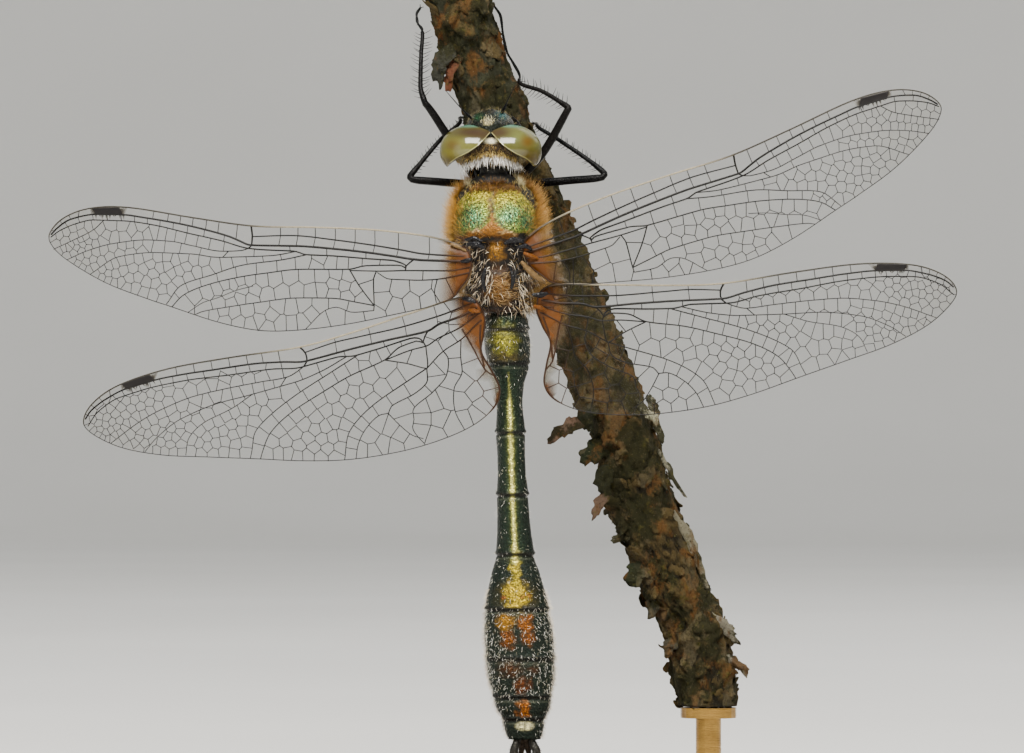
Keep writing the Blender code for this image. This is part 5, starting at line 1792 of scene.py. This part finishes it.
HAIR_SHADES = np.array([0.5] * 3 + [0.95] * 3 + [1.3] * 4)  # darker at the root, lighter at the tip
RUST, GOLD, STRAW = np.array(((0.115, 0.040, 0.005), (0.42, 0.200, 0.015), (0.50, 0.34, 0.08)))
ROOT_DEPTH = 0.02  # how deep the hairs start in the skin


def plant(name, seed, count, density, length, radius, lie, lean, curl, stray, colours):
    """Hairs on the skin, as dense in each place as density says, that lean out of the skin towards lie.

    length is the shortest and the longest, curl bends each hair towards lie, and stray ruffles them all.
    colours are two limits for each hair's colour, or a function of the roots that gives both.
    """
    rng = np.random.default_rng(seed)
    grid, out = SKIN_GRID, SKIN_OUT
    rows, columns = grid.shape[:2]
    round_step = np.linalg.norm(np.roll(grid, -1, axis=1) - grid, axis=2)
    step_area = round_step * np.linalg.norm(np.gradient(grid, axis=0), axis=2)
    weight = (np.clip(density, 0, None) * step_area).ravel()
    chosen = rng.choice(weight.size, count, p=weight / weight.sum())
    row, column = np.divmod(chosen, columns)
    share_row, share_column = rng.random(count)[:, None], rng.random(count)[:, None]
    next_row, next_column = np.minimum(row + 1, rows - 1), (column + 1) % columns

    def between(values):
        near = values[row, column] * (1 - share_column) + values[row, next_column] * share_column
        far = values[next_row, column] * (1 - share_column) + values[next_row, next_column] * share_column
        return near * (1 - share_row) + far * share_row

    roots, normals = between(grid), unit(between(out))
    lie = unit(np.asarray(lie, float)) if np.ndim(lie) == 1 else unit(between(lie))
    flat_lie = unit(lie - normals * (normals * lie).sum(axis=1, keepdims=True) + 1e-6)
    directions = unit(normals * (1 - lean) + flat_lie * lean + rng.normal(0, stray, roots.shape))
    lengths = rng.uniform(*length, count)
    bends = flat_lie * curl + rng.normal(0, 0.08, roots.shape)
    places = np.hstack([(column[:, None] + share_column) / columns, (row[:, None] + share_row) / rows])
    roots_in = roots - normals * ROOT_DEPTH
    points, faces, patches = spikes(roots_in, directions, lengths, radius, bends, places)
    first, second = colours(roots) if callable(colours) else np.array(colours)
    shade = mix(first, second, rng.random(count)[:, None]) * rng.uniform(0.75, 1.2, count)[:, None]
    tint = np.repeat(shade, SPIKE_CORNERS, axis=0) * np.tile(HAIR_SHADES[:, None], (count, 1))
    hairs = Shape()
    hairs.add(points, faces, tint, (0.0, 0.42, 1.0), patches)
    hairs.piece(name, HAIR, "body_cuticle", turn_out=False)


def flank_colours(roots):
    """Rust at the collar, gold at the sides and straw lower down, with rustier, darker hair on the animal's
    right as painted shade.
    """
    high = smoothstep(55.6, 57.2, roots[:, 2:3])
    middle = 1 - smoothstep(1.2, 2.6, np.abs(roots[:, :1] - CREST_X + 0.2))
    # Painted shade: the animal's right side, which lies in shadow, turns rustier and darker.
    right = smoothstep(0.6, 2.2, roots[:, :1])
    rusty = np.clip(high * (0.60 + 0.40 * middle) + 0.25 * middle + 0.45 * right, 0, 1)
    low = smoothstep(54.5, 52.0, roots[:, 2:3]) * 0.6
    first, second = mix(GOLD, STRAW, low), mix(GOLD * 0.8, STRAW, low * 0.5)
    return mix(first, RUST, rusty), mix(second, RUST * 1.5, rusty)


def saddle_colours(roots):
    """Cream and dark brown hairs in clumps."""
    dark = smoothstep(-0.16, 0.06, noise_at(roots, 2.3))[:, None]
    clumped = mix((0.92, 0.84, 0.68), (0.050, 0.026, 0.010), dark)
    return clumped, clumped * np.array((0.55, 0.45, 0.32))


def build_coat():
    """The animal's hairs, each kind in its own place."""
    x, z = SKIN_GRID[..., 0], SKIN_GRID[..., 2]
    place_round = np.broadcast_to(np.sin(full_turn(SKIN_COLUMNS)), x.shape)
    back = smoothstep(-0.1, 0.4, -place_round)
    side = 1 - np.abs(place_round)
    down = -UP
    # The flanks, the collar and the shields.
    thorax = smoothstep(THORAX_FOOT, 47.2, z) * (1 - smoothstep(57.6, 57.9, z))
    front = smoothstep(52.6, 53.2, z)
    below = thorax * np.maximum(smoothstep(0.0, -0.15, z - dome(x)), (1 - back) * (z < COLLAR_TOP))
    left, right = (
        spot(x, z, centre, SHIELD_Z, reach, 2.1, 0.2) for (centre, _), reach in zip(SHIELDS, (1.2, 1.6))
    )
    shield = np.maximum(left, right) * back
    bare = np.maximum(shield, wedge_mask(x, z) * back)
    flanks = below * (1 - 0.97 * bare) * (front * (0.35 + 0.65 * side) + (1 - back) * 0.8 + 0.5 * side)
    long_flanks = below * (1 - bare) * (front * 0.4 + 1.0) * smoothstep(0.45, 0.8, side)
    collar_x = np.abs(x - COLLAR_X)
    collar = smoothstep(56.0, 56.6, z) * (z < dome(x)) * smoothstep(2.9, 2.3, collar_x) * back
    neck = ridge(z - 57.15, 0.30) * ridge(collar_x - 2.25, 0.25) * (place_round < 0.2)
    # The saddle between the wings, and its knob.
    saddle = thorax * (1 - smoothstep(52.2, 52.5, z)) * back
    off_middle = x + 1.05
    aside = np.abs(off_middle)
    beside = smoothstep(0.35, 0.9, aside) * (0.45 + 0.55 * smoothstep(51.9, 49.5, z))
    parted = down + 0.35 * SIDE * np.sign(off_middle)[..., None] * np.minimum(aside, 1.0)[..., None]
    matted = saddle * (beside + 0.18 + 0.5 * smoothstep(48.2, 47.6, z))
    knob = saddle * spot(x, z, -0.93, 48.7, 1.1, 0.95)
    # The head: behind the eyes, the white fringe, the brow and the face.
    occiput = smoothstep(58.45, 58.6, z) * (1 - smoothstep(60.3, 60.6, z)) * back
    head_x = x - HEAD[0]
    arc = HEAD[2] - 1.36 - 0.12 * head_x**2
    fan = down + 0.14 * SIDE * head_x[..., None]
    fringe = ridge(z - arc, 0.08) * back * (np.abs(head_x) < 2.25)
    behind_fringe = ridge(z - arc - 0.22, 0.14) * back * (np.abs(head_x) < 1.9)
    brow = spot(x, z, HEAD[0] - 0.20, HEAD[2] + 1.30, 0.46, 0.24, 0.7) * back
    face = smoothstep(HEAD[2] + 0.6, HEAD[2] + 0.9, z)
    # The tail, thickest where the abdomen is wide.
    wide = 1 - smoothstep(26.0, 29.0, z)
    tail = 0.16 + 0.20 * wide + 0.65 * (z < 24.0) * (z > 17.2) + 0.35 * smoothstep(43.0, 44.5, z)
    tail = (z < THORAX_FOOT) * tail * (0.30 + 0.70 * side)
    tail_edge = (z < 25.5) * (z > 13.9) * smoothstep(0.55, 0.85, side)
    # Name, seed, count, where, limits of length, radius, lie, lean, curl, stray and limits of colour.
    for kind in (
        ("coat_flanks", 1, 10500, flanks, (0.40, 0.90), 0.016, UP, 0.25, 0.2, 0.38, flank_colours),
        ("coat_flanks_long", 21, 2600, long_flanks, (0.8, 1.35), 0.010, UP, 0.2, 0.25, 0.30,
         ((0.26, 0.12, 0.015), (0.42, 0.25, 0.06))),
        ("coat_collar", 2, 1100, collar, (0.25, 0.55), 0.016, UP, 0.30, 0.3, 0.60,
         (RUST * 0.4, GOLD * 0.42)),
        ("coat_neck_sides", 22, 260, neck, (0.35, 0.75), 0.013, UP, 0.4, 0.3, 0.35,
         ((0.62, 0.56, 0.34), (0.35, 0.28, 0.12))),
        ("coat_shield", 3, 800, shield * front, (0.15, 0.34), 0.010, UP, 0.65, 0.2, 0.4,
         ((0.62, 0.50, 0.14), (0.50, 0.30, 0.04))),
        ("coat_saddle", 4, 1150, matted, (0.28, 0.66), 0.033, parted, 0.42, 0.9, 1.05, saddle_colours),
        ("coat_knob", 14, 200, knob, (0.35, 0.7), 0.021, SIDE, 0.8, 0.6, 0.6,
         ((0.16, 0.070, 0.012), (0.46, 0.31, 0.13))),
        ("coat_occiput", 5, 850, occiput, (0.16, 0.42), 0.013, down, 0.5, 0.3, 0.45,
         ((0.50, 0.32, 0.07), (0.05, 0.022, 0.008))),
        ("coat_fringe", 6, 150, fringe, (0.55, 1.0), 0.022, fan, 0.55, 0.12, 0.14,
         ((1.0, 1.0, 0.98), (0.70, 0.67, 0.60))),
        ("coat_occiput_gold", 23, 260, behind_fringe, (0.25, 0.50), 0.015, fan, 0.5, 0.2, 0.45,
         ((0.70, 0.55, 0.18), (0.26, 0.14, 0.02))),
        ("coat_brow", 7, 95, brow, (0.16, 0.42), 0.011, UP, 0.6, 0.2, 0.5,
         ((1.0, 0.96, 0.70), (0.66, 0.55, 0.24))),
        ("coat_face", 8, 420, face, (0.16, 0.40), 0.010, UP, 0.4, 0.2, 0.4,
         ((0.30, 0.25, 0.12), (0.015, 0.012, 0.010))),
        ("coat_tail", 9, 4300, tail, (0.13, 0.34), 0.014, down, 0.62, 0.15, 0.50,
         ((0.92, 0.91, 0.84), (0.34, 0.30, 0.18))),
        ("coat_tail_edge", 10, 1500, tail_edge, (0.25, 0.45), 0.013, down, 0.45, 0.25, 0.3,
         ((0.55, 0.46, 0.34), (0.75, 0.70, 0.58))),
    ):
        plant(*kind)


# Hard parts at the roots of the wings: route, radii along it, colour, roughness.
HINGE_STEPS = 16
JET, TAN, AMBER = (0.004, 0.004, 0.006), (0.13, 0.078, 0.030), (0.11, 0.034, 0.002)
HINGES = [
    ([(-2.2, -3.55, 51.95), (-2.75, -3.55, 52.25), (-3.4, -3.3, 52.25)], (0.14, 0.26, 0.16), JET, 0.16),
    ([(-2.3, -3.45, 52.45), (-2.95, -3.35, 52.7), (-3.6, -3.05, 52.6)], (0.1, 0.17, 0.1), JET, 0.16),
    ([(-0.55, -3.75, 52.3), (0.15, -3.8, 52.55), (0.85, -3.65, 52.45)], (0.14, 0.27, 0.16), JET, 0.16),
    ([(0.4, -3.6, 52.0), (1.0, -3.5, 52.1), (1.5, -3.3, 51.85)], (0.12, 0.22, 0.12), JET, 0.16),
    ([(-3.55, -3.15, 51.75), (-4.1, -3.15, 52.05), (-4.75, -3.1, 52.25)], (0.12, 0.17, 0.1), TAN, 0.4),
    ([(-3.1, -3.4, 51.1), (-3.55, -3.4, 50.95), (-3.95, -3.25, 50.9)], (0.13, 0.2, 0.1), JET, 0.18),
    ([(-3.15, -3.15, 50.75), (-3.4, -3.0, 49.9), (-3.75, -2.75, 49.1), (-4.1, -2.45, 48.55)],
     (0.14, 0.24, 0.24, 0.14), TAN, 0.45),
    ([(0.75, -3.65, 50.85), (1.35, -3.4, 50.2), (1.95, -3.1, 49.65), (2.55, -2.7, 49.25)],
     (0.14, 0.24, 0.22, 0.12), TAN, 0.45),
    ([(0.95, -3.55, 51.55), (1.5, -3.35, 51.3), (2.0, -3.1, 51.15)], (0.12, 0.2, 0.1), AMBER, 0.35),
    ([(-2.85, -2.9, 47.75), (-3.3, -2.75, 47.95), (-3.8, -2.45, 48.05)], (0.12, 0.22, 0.12), JET, 0.18),
    ([(-2.55, -2.75, 47.0), (-3.0, -2.6, 47.1), (-3.35, -2.4, 47.15)],
     (0.12, 0.2, 0.1), AMBER, 0.35),
    ([(1.6, -3.0, 48.35), (2.2, -2.8, 48.3), (2.75, -2.5, 48.45)], (0.12, 0.24, 0.12), JET, 0.18),
    ([(1.7, -2.75, 47.45), (2.15, -2.6, 47.35), (2.6, -2.35, 47.15)], (0.12, 0.2, 0.1), AMBER, 0.35),
    ([(-2.05, -3.1, 50.4), (-2.25, -3.1, 49.5), (-2.05, -2.95, 48.6)], (0.1, 0.2, 0.1), JET, 0.2),
    ([(-0.15, -3.3, 50.5), (0.1, -3.3, 49.6), (-0.05, -3.15, 48.8)], (0.1, 0.2, 0.1), JET, 0.2),
]


def build_hinges():
    """The small plates that the wings turn on."""
    plates = Shape()
    for route, widths, colour, rough in HINGES:
        path = smooth_path(route, HINGE_STEPS)
        radii = taper(HINGE_STEPS, np.linspace(0, 1, len(widths)), widths)
        plates.add_tube(path, radii, 14, colour, (0.15, rough, 0.3), 0.7)
    plates.piece("wing_hinges", CUTICLE, "body_cuticle")


SKIN_GRID, SKIN_OUT = build_skin()
build_eyes()
build_hinges()
for seed, name in enumerate(WING_PLACES):
    build_wing(name, seed + 3)
for seed, name in enumerate(LEGS):
    build_leg(name, seed + 20)
build_feelers()
build_claspers()
strew_flakes(build_twig())
build_coat()
dress_stand()
add_camera()
add_stage()
